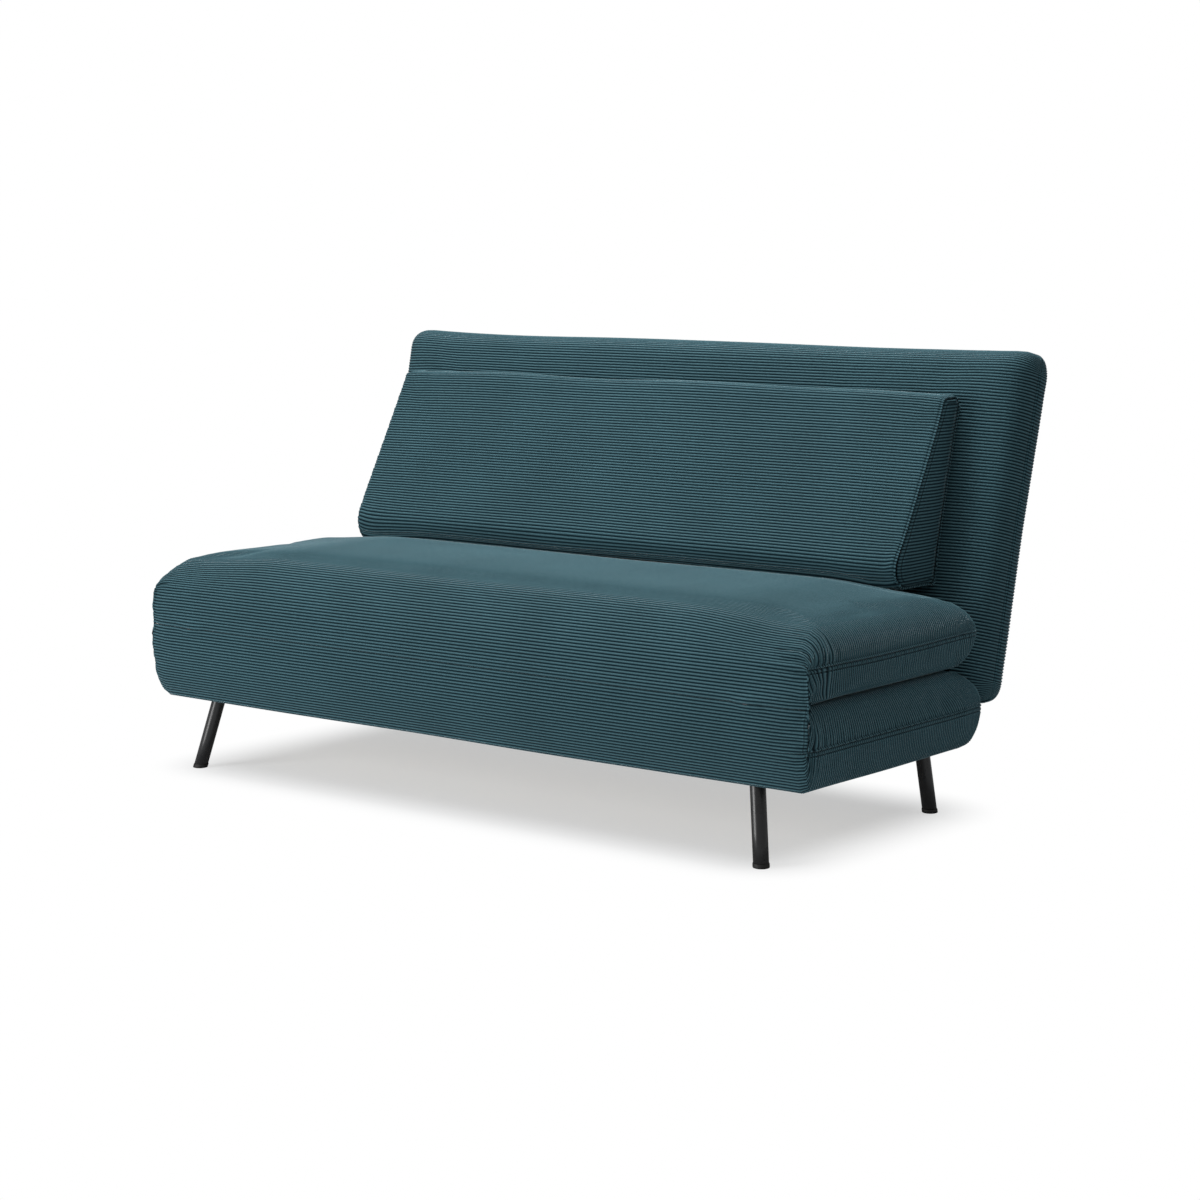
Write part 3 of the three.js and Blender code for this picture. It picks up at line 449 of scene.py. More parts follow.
def cover(name, profile, half, roll, pull, crowns, rear_pull, rows, place, hold, seam_rows,
          cap, shrink, swell, slits=((), ()), extra_x=(), inset=0.003, pressure=4.0,
          banded=(seam_lip, seam_band), floor_at=None, gather=(None, None)):
    outer, inner, share = coarse_form(profile, half, roll, pull, crowns[0], crowns[1], rear_pull, rows)
    vertices, faces, ids, inner_ids = weld(outer, inner)
    held = np.zeros(len(vertices))
    held[ids.ravel()] = hold(outer, False).ravel()
    inside = inner_ids[1:-1, 1:-1]
    held[inside.ravel()] = hold(inner, True)[1:-1, 1:-1].ravel()
    seams = np.zeros(len(vertices))
    seams[ids[0]] = seams[ids[-1]] = 1
    seams[ids[1]] = seams[ids[-2]] = 0.4
    if seam_rows[1]:
        seams[ids[:, -1]] = 1
    if seam_rows[0]:
        seams[ids[:, 0]] = 1
    moved = inflate(name, vertices, faces, held, seams, cap, pressure, shrink, inset)
    outer, inner = moved[ids], moved[inner_ids]
    sheets = [
        corduroy_sheet(outer, False, seam_rows, place, swell[0], 0.0, slits[0], extra_x, banded[0], floor_at,
                       gather[0]),
        corduroy_sheet(inner, True, seam_rows, place, swell[1], 0.0, slits[1], extra_x, banded[1], floor_at,
                       gather[1]),
    ]
    return join_sheets(name, sheets)


# The four covers

def seat_hold(thick, hold_outer):
    def hold(grid, is_inner):
        if is_inner:
            return np.clip(smooth(0.008, 0.001, grid[..., 2]), 0, 1)
        fold = smooth(0.024, 0.006, grid[..., 2]) * smooth(0.10, 0.05, grid[..., 1])
        if hold_outer:
            return np.maximum(fold, smooth(thick - 0.006, thick - 0.001, grid[..., 2]))
        under_cushion = smooth(0.44, 0.48, grid[..., 1]) * smooth(0.76, 0.70, np.abs(grid[..., 0]))
        return np.maximum(fold, under_cushion)
    return hold


def gathers(v, d_side, x, at, reach, seed, size):
    """Folds that run with the ribs into the point where the side seam starts. Their valleys are sharp."""
    rng = np.random.default_rng(seed)
    along = v[None] - at
    folds = np.zeros(d_side.shape)
    for period, share in ((0.022, 1.0), (0.0137, 0.7), (0.0089, 0.35)):
        turn = np.where(x > 0, rng.uniform(0, 3.14), rng.uniform(0, 3.14))
        wave = np.abs(np.sin(math.pi * along / period + turn + 0.35 * np.sin(d_side * 70 + turn * 3)))
        folds += share * (wave ** 0.6 - 0.68)
    fade = smooth(0.0, 0.009, d_side) * np.exp(-(d_side / reach) ** 2) * np.exp(-(along / 0.060) ** 2)
    return folds * fade * np.where(x > 0, size, size * 0.3)


def puckers(v, d, seed, size, period=0.0095):
    """The uneven drawing in of cloth along a seam."""
    rng = np.random.default_rng(seed)
    total = np.zeros(np.broadcast(v, d).shape)
    for stretch, share in ((1.0, 0.6), (1.7, 0.35), (3.1, 0.45)):
        total = total + share * np.sin(2 * math.pi * v / (period * stretch) + rng.uniform(0, 6.28))
    return total * np.exp(-(d / 0.010) ** 2) * size


def front_swell(seed, size):
    """Slow waves on the front and the top, and small puckers down the ends of the front."""
    def swell(grid, v, d_side, d):
        x, u, h = grid[..., 0], grid[..., 1], grid[..., 2]
        on_front = smooth(0.05, 0.02, u) * smooth(0.0, 0.01, h)
        drawn = puckers(v[None], d_side, seed, 0.0009) * on_front * np.where(x > 0, 1.0, 0.4)
        # the two fronts press together when the seat is unfolded, so the ribs keep back there
        back_off = 0.8 * RIB_HEIGHT * smooth(0.050, 0.012, h) * smooth(0.04, 0.02, u)
        return waves(x, v[None], seed, size) * smooth(0, 0.06, h) + drawn * smooth(0.004, 0.02, h) - back_off
    return swell


def side_swell(seed, size):
    """The inner face: flat where it rests, with a little drawing in near the side seam."""
    def swell(grid, v, d_side, d):
        free = smooth(0.006, 0.03, grid[..., 2])
        return (puckers(v[None], d_side, seed, size) + waves(grid[..., 0], v[None], seed, 0.0012)) * free
    return swell


def at_fold(points):
    """How far the front edge reaches to meet its neighbour, how far the cloth stands out over the
    hinge knuckles, and how far its ends are drawn in."""
    meet = 0.0003 * smooth(0.004, 0.0, points[:, 2]) * smooth(0.012, 0.004, points[:, 1])
    near_hinge = smooth(0.034, 0.013, np.abs(np.abs(points[:, 0]) - HINGE_X))
    out = 0.0066 * near_hinge * smooth(0.019, 0.006, points[:, 2]) * smooth(0.03, 0.01, points[:, 1])
    end = smooth(0.045, 0.0, HALF - np.abs(points[:, 0])) * smooth(0.034, 0.006, points[:, 2])
    end = end * smooth(0.05, 0.02, points[:, 1])
    return meet, out - 0.0065 * end, -np.sign(points[:, 0]) * 0.0045 * end


def dimple(points, mid):
    """The corner where the side seam starts is drawn in."""
    side = np.sign(points[:, 0])
    apart = np.stack([HALF - np.abs(points[:, 0]), points[:, 1] - 0.008, points[:, 2] - mid], 1)
    pull = np.exp(-(np.linalg.norm(apart, axis=1) / 0.020) ** 2) * np.where(side > 0, 1.0, 0.3)
    return np.stack([-side * 0.006 * pull, 0.006 * pull, pull * 0], 1)


def droop(x):
    """How far the top of the seat falls towards its ends."""
    return 0.012 * smooth(0.50, 0.72, np.abs(x))


def place_upper(points):
    meet, out, inward = at_fold(points)
    points = points + dimple(points, UPPER_THICK / 2)
    height = points[:, 2] - droop(points[:, 0]) * smooth(0.5 * UPPER_THICK, UPPER_THICK, points[:, 2])
    return np.stack([points[:, 0] + inward, points[:, 1] + SHIFT - out, UPPER_BOTTOM + height - meet], 1)


def place_lower(points):
    meet, out, inward = at_fold(points)
    points = points + dimple(points, LOWER_THICK / 2)
    return np.stack([points[:, 0] + inward, points[:, 1] + SHIFT - out, LOWER_TOP - points[:, 2] + meet], 1)


BACK_TURN = np.array(Matrix.Rotation(math.pi / 2 - LEAN, 3, "X"))


def place_back(points):
    return points @ BACK_TURN.T + np.array(PIVOT)


def flip_faces(obj):
    obj.data.flip_normals()


upper = cover(
    "seat_cover_upper", seat_profile(UPPER_DEPTH, UPPER_THICK, 0.085, 0.075, 0.050, 0.008, 0.013, 0.0015),
    HALF + STAND_OUT, 0.040, 0.002, (SEAT_CROWN, 0.0), 0.005, 54, place_upper, seat_hold(UPPER_THICK, False),
    (False, True), 0.006, 0.035, (front_swell(3, 0.0016), side_swell(4, 0.0007)),
    floor_at=0.0, gather=((0.104, 0.080, 21, 0.0115), (0.012, 0.040, 22, 0.0042)))
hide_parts("upper_cover")
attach(upper, "upper_seat")

under = ((-0.738, 0.062, LOWER_THICK - 0.004), (0.738, 0.547, LOWER_THICK + 0.02))
lower = cover(
    "seat_cover_lower", seat_profile(LOWER_DEPTH, LOWER_THICK, 0.034, 0.055, 0.130, 0.008, 0.013, 0.0015),
    HALF + STAND_OUT, 0.021, 0.002, (0.0, 0.0), 0.005, 56, place_lower, seat_hold(LOWER_THICK, True),
    (False, True), 0.006, 0.035, (front_swell(5, 0.0012), side_swell(6, 0.0007)),
    slits=((under,), ()), banded=(seam_band, seam_lip), floor_at=0.0,
    gather=((0.095, 0.055, 23, 0.0065), (0.012, 0.040, 24, 0.0035)))
flip_faces(lower)
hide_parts("lower_cover")
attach(lower, "base")

back_mid = -(BACK_HALF + BACK_CROWN - PIVOT_TO_FACE)


def back_hold(grid, is_inner):
    return np.zeros(grid.shape[:2])


def back_swell(seed):
    def swell(grid, v, d_side, d):
        return waves(grid[..., 0], v[None], seed, 0.0022) + puckers(v[None], d_side, seed, 0.0005)
    return swell


slit_low, slit_high = RECLINE_X - 0.0105, RECLINE_X + 0.0125
back_slits = tuple(((x0, -0.06, -0.2), (x1, 0.024, 0.2))
                   for x0, x1 in ((slit_low, slit_high), (-slit_high, -slit_low)))
back = cover(
    "backrest_cloth", back_profile(), BACK_HALF_WIDTH + BACK_STAND_OUT, 0.040, 0.002, (BACK_CROWN, -BACK_CROWN),
    0.0, 56, place_back, back_hold, (True, True), 0.006, 0.03, (back_swell(7), back_swell(8)),
    slits=(back_slits, back_slits), extra_x=(slit_low, slit_high, -slit_high, -slit_low),
    banded=(seam_lip, seam_lip))
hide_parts("backrest_cover")
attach(back, "backrest")


# Wedge cushion: a wrapped sheet with a rounded outline, and an end panel on each side

WEDGE_Z, WEDGE_REAR = None, None
wedge_low, wedge_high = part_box("wedge_cover")
WEDGE_Z = wedge_low.z
WEDGE_REAR = wedge_high.y - WEDGE_HEIGHT * math.tan(LEAN)


def wedge_outline(count):
    """Points round the outline, from the bottom rear corner up the back, over the top and down the front."""
    lean = WEDGE_HEIGHT * math.tan(LEAN)
    corners = np.array([[0, 0], [lean, WEDGE_HEIGHT], [lean - WEDGE_TOP, WEDGE_HEIGHT], [-WEDGE_BOTTOM, 0]])
    radii = [0.014, 0.018, 0.020, 0.030]
    points = []
    for k in range(4):
        corner, before, after = corners[k], corners[k - 1], corners[(k + 1) % 4]
        a, b = before - corner, after - corner
        a, b = a / np.linalg.norm(a), b / np.linalg.norm(b)
        half_angle = math.acos(np.clip(a @ b, -1, 1)) / 2
        reach = radii[k] / math.tan(half_angle)
        centre = corner + (a + b) / np.linalg.norm(a + b) * radii[k] / math.sin(half_angle)
        p, q = corner + a * reach, corner + b * reach
        start = math.atan2(*(p - centre)[::-1])
        end = math.atan2(*(q - centre)[::-1])
        sweep = (end - start + math.pi) % (2 * math.pi) - math.pi
        turn = start + sweep * np.linspace(0, 1, 16)
        points.append(centre + radii[k] * np.stack([np.cos(turn), np.sin(turn)], 1))
    loop = np.concatenate(points + [points[0][:1]])
    lengths = arc(loop)
    return at_arc(loop, lengths, np.linspace(0, lengths[-1], count + 1)), lengths[-1]


def seat_level(x, u):
    """Height of the seat's top under the cushion, from the profile of the upper cover."""
    reach = UPPER_DEPTH - 0.013 - 0.008
    share = (np.minimum(u, 0.500) - 0.008) / reach
    bow = 1 - (2 * share - 1) ** 6
    bell = 1 - (x / HALF) ** 12
    return UPPER_BOTTOM + UPPER_THICK + SEAT_CROWN * bow * bell - droop(x)


def settle(points):
    """Lets the underside sink onto the seat."""
    x = points[..., 0] + WEDGE_SHIFT
    u = points[..., 1] + WEDGE_REAR - SHIFT
    gap = WEDGE_Z - seat_level(x, u) + 0.0018
    return points - np.stack([gap * 0, gap * 0, gap * smooth(0.055, 0.004, points[..., 2])], -1)


def build_wedge():
    rows = 66
    outline, around = wedge_outline(rows)
    ring = outline[:-1]
    half = WEDGE_WIDTH / 2
    edge = 0.009
    x = np.concatenate([[-half + 0.001, -half + 0.004], np.linspace(-half + edge, half - edge, 69),
                        [half - 0.004, half - 0.001]])
    draw = np.concatenate([[0.006, 0.002], np.zeros(69), [0.002, 0.006]])
    centre = ring.mean(0)
    normal_out = np.stack([np.gradient(ring[:, 1]), -np.gradient(ring[:, 0])], 1)
    normal_out /= np.linalg.norm(normal_out, axis=1, keepdims=True)
    if ((ring - centre) * normal_out).sum() < 0:
        normal_out = -normal_out
    share = x / half
    front = np.clip(normal_out @ np.array([-0.88, 0.47]), 0, 1) ** 2
    crown = 0.008 * (1 - share ** 4)
    grid = np.zeros((len(x), rows, 3))
    grid[..., 0] = x[:, None]
    lift = -draw[:, None] + crown[:, None] * front[None]
    grid[..., 1:] = ring[None] + normal_out[None] * lift[..., None]
    vertices = [grid.reshape(-1, 3)]
    faces = []
    ids = np.arange(len(x) * rows).reshape(len(x), rows)
    nxt = np.roll(ids, -1, axis=1)
    faces.append(np.stack([ids[:-1], ids[1:], nxt[1:], nxt[:-1]], -1).reshape(-1, 4))
    start = len(x) * rows
    for side, column in ((-1, 0), (1, len(x) - 1)):
        previous = ids[column]
        for scale in (0.75, 0.5, 0.25):
            points = centre + (grid[column, :, 1:] - centre) * scale
            bulge = side * (half + 0.004 * (1 - scale))
            vertices.append(np.column_stack([np.full(rows, bulge), points]))
            now = np.arange(rows) + start
            start += rows
            a, b = previous, now
            quads = np.stack([a, b, np.roll(b, -1), np.roll(a, -1)], -1)
            faces.append(quads[:, ::-1] if side > 0 else quads)
            previous = now
        quads = np.stack([previous[0:rows // 2], previous[1:rows // 2 + 1],
                          previous[::-1][0:rows // 2 - 0][np.arange(rows // 2)],
                          previous[::-1][np.arange(rows // 2) - 1]], -1)
        cap = []
        for k in range(rows // 2 - 1):
            cap.append([previous[k], previous[k + 1], previous[rows - 2 - k], previous[rows - 1 - k]])
        cap = np.array(cap)
        faces.append(cap if side > 0 else cap[:, ::-1])
    vertices = np.concatenate(vertices)
    faces = np.concatenate(faces)
    held = np.zeros(len(vertices))
    lean_normal = np.array([math.cos(LEAN), -math.sin(LEAN)])
    behind = smooth(0.9, 0.99, normal_out @ lean_normal)
    below = smooth(0.9, 0.99, -normal_out[:, 1])
    held[ids.ravel()] = np.broadcast_to(np.maximum(behind, below), ids.shape).ravel()
    held[len(x) * rows:] = 0.0
    seams = np.zeros(len(vertices))
    seams[ids[0]] = seams[ids[-1]] = 1
    moved = inflate("wedge", vertices, faces, held, seams, 0.009, 3.5, 0.05, 0.002)
    grid = moved[ids]
    # close the loop, starting at the bottom rear corner, and lay the ribs
    closed = np.concatenate([grid[:, -2:], grid, grid[:, :3]], axis=1)
    middle = closed[len(x) // 2]
    lengths = arc(middle)
    begin, end = lengths[2], lengths[2 + rows]
    ribs = int(round((end - begin) / PITCH))
    pitch = (end - begin) / ribs
    v = np.arange(ribs * ACROSS + 1) * pitch / ACROSS
    rows_at = np.interp(v + begin, lengths, np.arange(closed.shape[1]))
    across = arc(closed[:, rows // 2])
    places = fine_places(across[-1], 0.08)
    columns = np.interp(places, across, np.arange(len(x)))
    fine = catmull(catmull(closed, columns, 0), rows_at, 1)
    side = np.linalg.norm(np.diff(fine, axis=0), axis=2)
    from_left = np.concatenate([np.zeros((1, fine.shape[1])), np.cumsum(side, 0)])
    d = np.minimum(from_left, from_left[-1] - from_left)
    normal = grid_normals(fine)
    outward = ((fine[..., 1:] - centre) * normal[..., 1:]).sum()
    if outward < 0:
        normal = -normal
    rest = np.clip(normal[..., 1:] @ lean_normal, 0, 1) ** 8 + np.clip(-normal[..., 2], 0, 1) ** 8
    height = rib_shape(v * PITCH / pitch)[None] * RIB_HEIGHT * (0.35 + 0.65 * smooth(0.007, 0.013, d))
    loose = np.clip(1 - rest, 0, 1)
    height = height + seam_lip(d) + waves(fine[..., 0], v[None], 11, 0.0030) * loose
    height = height + puckers(v[None], d, 12, 0.0006) * loose
    shell = settle(fine + normal * height[..., None])
    uv = np.stack([shell[..., 0], np.broadcast_to(v * PITCH / pitch, shell.shape[:2])], -1)
    wrap = (shell.reshape(-1, 3), grid_faces(*shell.shape[:2], outward < 0), uv.reshape(-1, 2),
            seam_mark(d, seam_lip).reshape(-1))
    sheets = [wrap]
    for side, column in ((-1, 0), (1, -1)):
        rim = shell[column]
        x_rim = rim[:, 0].mean()
        loop = rim[:, 1:]
        low, high = loop[:, 1].min() + 0.0008, loop[:, 1].max() - 0.0008
        levels = np.arange(low, high, PITCH / ACROSS)
        a, b = loop[:-1], loop[1:]
        spans = []
        for z in levels:
            hit = (a[:, 1] - z) * (b[:, 1] - z) <= 0
            rise = b[hit, 1] - a[hit, 1]
            t = np.where(np.abs(rise) < 1e-9, 0.5, (z - a[hit, 1]) / np.where(np.abs(rise) < 1e-9, 1, rise))
            y = a[hit, 0] + t * (b[hit, 0] - a[hit, 0])
            spans.append((y.min(), y.max()))
        spans = np.array(spans)
        ends = np.array([0, 0.006, 0.012, 0.018, 0.025, 0.033, 0.042, 0.052, 0.063, 0.076, 0.091, 0.11, 0.14])
        share = np.concatenate([ends, np.linspace(0.18, 0.82, 11), 1 - ends[::-1]])
        y = spans[:, :1] + (spans[:, 1:] - spans[:, :1]) * share[None]
        z = np.broadcast_to(levels[:, None], y.shape)
        points = np.stack([y, z], -1).reshape(-1, 2)
        edge_vector = b - a
        near = np.full(len(points), 1.0)
        for p, e in zip(a[::4], (np.roll(a, -4, 0) - a)[::4]):
            t = np.clip(((points - p) @ e) / max(e @ e, 1e-12), 0, 1)
            near = np.minimum(near, np.linalg.norm(points - p - t[:, None] * e, axis=1))
        near = near.reshape(y.shape)
        bulge = 0.0075 * (1 - np.exp(-near / 0.02)) + waves(y * 2, z, 13, 0.0012) * smooth(0.0, 0.03, near)
        ribs_out = rib_shape(z - low) * RIB_HEIGHT * 0.5 * (0.35 + 0.65 * smooth(0.004, 0.012, near))
        x_out = x_rim + side * (bulge + ribs_out + seam_band(near + 0.0004))
        panel = np.stack([x_out, y, z], -1)
        uv = np.stack([y, z - low], -1)
        sheets.append((panel.reshape(-1, 3), grid_faces(*panel.shape[:2], side < 0), uv.reshape(-1, 2),
                       seam_mark(near, seam_band).reshape(-1)))
    placed = []
    for vertices, faces, uv, seam in sheets:
        moved_to = vertices + np.array([WEDGE_SHIFT, WEDGE_REAR, WEDGE_Z])
        placed.append((moved_to, faces, uv, seam))
    return join_sheets("wedge_cloth", placed)


wedge = build_wedge()
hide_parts("wedge_cover")
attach(wedge, "wedge_cushion")


# Foam blocks with softened edges, in place of the plain solids

def foam_block(name, node, body, low, high, place):
    low, high = np.array(low), np.array(high)
    size = high - low
    round_ = 0.006
    ticks = []
    for axis in range(3):
        inner = np.linspace(round_, size[axis] - round_, max(int(size[axis] / 0.06), 2) + 1)
        ticks.append(np.concatenate([[0], inner, [size[axis]]]))
    vertices, faces = [], []
    start = 0
    for axis in range(3):
        a, b = (axis + 1) % 3, (axis + 2) % 3
        ga, gb = np.meshgrid(ticks[a], ticks[b], indexing="ij")
        for end in (0, 1):
            points = np.zeros(ga.shape + (3,))
            points[..., axis] = size[axis] * end
            points[..., a], points[..., b] = ga, gb
            vertices.append(points.reshape(-1, 3))
            faces.append(grid_faces(*ga.shape, end == 0, start))
            start += ga.size
    vertices = np.concatenate(vertices)
    core = np.clip(vertices, round_, size - round_)
    away = vertices - core
    length = np.linalg.norm(away, axis=1, keepdims=True)
    vertices = core + away / np.maximum(length, 1e-9) * np.minimum(length, round_)
    obj = mesh_object(name, place(vertices + low), np.concatenate(faces))
    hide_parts(node)
    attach(obj, body)
    return obj


def straight(points):
    return points


def eased(points):
    """The top block follows the seat down at its ends, and is cut back under the gathered corners."""
    x = np.abs(points[:, 0])
    corner = smooth(0.58, 0.71, x) * smooth(0.15, 0.05, points[:, 1] - SHIFT)
    top = smooth(UPPER_BOTTOM + 0.5 * UPPER_THICK, UPPER_BOTTOM + 0.75 * UPPER_THICK, points[:, 2])
    return points - np.stack([x * 0, x * 0, (droop(x) + 0.018 * corner) * top], 1)


def clear_of_arm(points):
    """The lower end of the backrest's blocks is cut back round the recline arms."""
    x = np.abs(points[:, 0])
    lift = 0.05 * smooth(RECLINE_X - 0.07, RECLINE_X - 0.03, x) * smooth(foam_low + 0.14, foam_low, points[:, 1])
    return place_back(points + np.stack([x * 0, lift, x * 0], 1))


foams = []
for node, body, place in (("lower_foam", "base", straight), ("upper_foam_inner", "upper_seat", straight),
                          ("upper_foam_outer", "upper_seat", eased)):
    low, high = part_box(node)
    foams.append(foam_block(node + "_core", node, body, (low.x, low.y, low.z), (high.x, high.y, high.z), place))
foam_x, foam_low, foam_high = 0.7176, -PIVOT_TO_END + 0.0584, BACK_LENGTH - PIVOT_TO_END - 0.0584
for node, low_v, high_v in (("backrest_foam_rear", -BACK_HALF + 0.0144, -0.0129),
                            ("backrest_foam_front", 0.0129, BACK_HALF - 0.0144)):
    foams.append(foam_block(node + "_core", node, "backrest", (-foam_x, foam_low, back_mid + low_v),
                            (foam_x, foam_high, back_mid + high_v), clear_of_arm))


def wedge_foam():
    outline, _ = wedge_outline(40)
    ring = outline[:-1]
    centre = ring.mean(0)
    ahead, behind = np.roll(ring, -1, 0), np.roll(ring, 1, 0)
    outward = np.stack([(ahead - behind)[:, 1], -(ahead - behind)[:, 0]], 1)
    outward /= np.linalg.norm(outward, axis=1, keepdims=True)
    if ((ring - centre) * outward).sum() < 0:
        outward = -outward
    ring = ring - outward * 0.0175
    half = WEDGE_WIDTH / 2 - 0.027
    x = np.array([-half, -half + 0.006, half - 0.006, half])
    scale = np.array([0.97, 1.0, 1.0, 0.97])
    vertices = []
    for place_x, s in zip(x, scale):
        vertices.append(np.column_stack([np.full(len(ring), place_x), centre + (ring - centre) * s]))
    count = len(ring)
    faces = []
    for i in range(3):
        k = np.arange(count)
        faces.append(np.stack([i * count + k, (i + 1) * count + k, (i + 1) * count + (k + 1) % count,
                               i * count + (k + 1) % count], -1))
    caps = []
    for first, turned in ((0, True), (3 * count, False)):
        for k in range(count // 2 - 1):
            quad = [first + k, first + k + 1, first + count - 2 - k, first + count - 1 - k]
            caps.append(quad[::-1] if turned else quad)
    faces.append(np.array(caps))
    points = np.concatenate(vertices) + np.array([WEDGE_SHIFT, WEDGE_REAR, WEDGE_Z])
    obj = mesh_object("wedge_foam_core", points, np.concatenate(faces))
    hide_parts("wedge_foam")
    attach(obj, "wedge_cushion")
    return obj


foams.append(wedge_foam())


# Legs and glides with round sides and softened edges

def turned_leg(name, node, glide_node, foot, lean, top_z, body="base"):
    sides = 40
    turn = np.linspace(0, 2 * math.pi, sides, endpoint=False)
    # radius and height of each ring: glide first, then the tube up into the cover
    profile = [(0.0001, 0.0), (0.0128, 0.0), (0.0146, 0.0006), (0.0150, 0.0020), (0.0150, 0.0068),
               (0.0146, 0.0080), (0.0138, 0.0081)]
    tube = [(0.0134, 0.0083), (0.0140, 0.0090), (0.0140, 0.060), (0.0140, top_z)]
    made = []
    for label, rings, replaced in (("glide", profile, glide_node), ("tube", tube, node)):
        vertices = []
        for radius, z in rings:
            centre = (foot[0] - lean[0] * z / 0.140, foot[1] - lean[1] * z / 0.140)
            vertices.append(np.column_stack([centre[0] + radius * np.cos(turn), centre[1] + radius * np.sin(turn),
                                             np.full(sides, z)]))
        faces = []
        k = np.arange(sides)
        for i in range(len(rings) - 1):
            faces.append(np.stack([i * sides + k, i * sides + (k + 1) % sides,
                                   (i + 1) * sides + (k + 1) % sides, (i + 1) * sides + k], -1))
        obj = mesh_object(f"{name}_{label}", np.concatenate(vertices), np.concatenate(faces))
        obj.data.set_sharp_from_angle(angle=math.radians(50))
        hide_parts(replaced)
        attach(obj, body)
        made.append(obj)
    return made


leg_tubes, leg_glides = [], []
for row, foot_y, lean in (("front", 0.031, (0.029, -0.029)), ("rear", 0.584, (0.012, 0.018))):
    for side_name, side in (("left", -1), ("right", 1)):
        glide, tube = turned_leg(f"foot_{row}_{side_name}", f"leg_{row}_{side_name}", f"glide_{row}_{side_name}",
                                 (side * 0.692, foot_y + SHIFT), (side * lean[0], lean[1]), 0.150)
        leg_tubes.append(tube)
        leg_glides.append(glide)


# Materials

def new_material(name):
    material = bpy.data.materials.new(name)
    material.use_nodes = True
    tree = material.node_tree
    shader = tree.nodes["Principled BSDF"]
    return material, tree, shader


def node(tree, kind, inputs=None, **settings):
    made = tree.nodes.new(kind)
    for key, value in settings.items():
        setattr(made, key, value)
    for key, value in (inputs or {}).items():
        if isinstance(value, bpy.types.NodeSocket):
            tree.links.new(value, made.inputs[key])
        else:
            made.inputs[key].default_value = value
    return made


def maths(tree, operation, a, b=None):
    made = node(tree, "ShaderNodeMath", operation=operation)
    for index, value in enumerate((a, b)):
        if value is None:
            continue
        if isinstance(value, bpy.types.NodeSocket):
            tree.links.new(value, made.inputs[index])
        else:
            made.inputs[index].default_value = value
    return made.outputs[0]


def mix(tree, factor, a, b, mode="MIX"):
    made = node(tree, "ShaderNodeMix", data_type="RGBA", blend_type=mode)
    for index, value in ((0, factor), (6, a), (7, b)):
        if isinstance(value, bpy.types.NodeSocket):
            tree.links.new(value, made.inputs[index])
        else:
            made.inputs[index].default_value = value
    return made.outputs[2]


def ramp(tree, value, stops):
    made = node(tree, "ShaderNodeValToRGB", {"Fac": value})
    elements = made.color_ramp.elements
    while len(elements) < len(stops):
        elements.new(0.5)
    for element, (place, color) in zip(elements, stops):
        element.position = place
        element.color = color
    return made.outputs["Color"]


def srgb(r, g, b):
    return tuple(((c / 255) / 12.92 if c <= 10 else ((c / 255 + 0.055) / 1.055) ** 2.4) for c in (r, g, b)) + (1,)


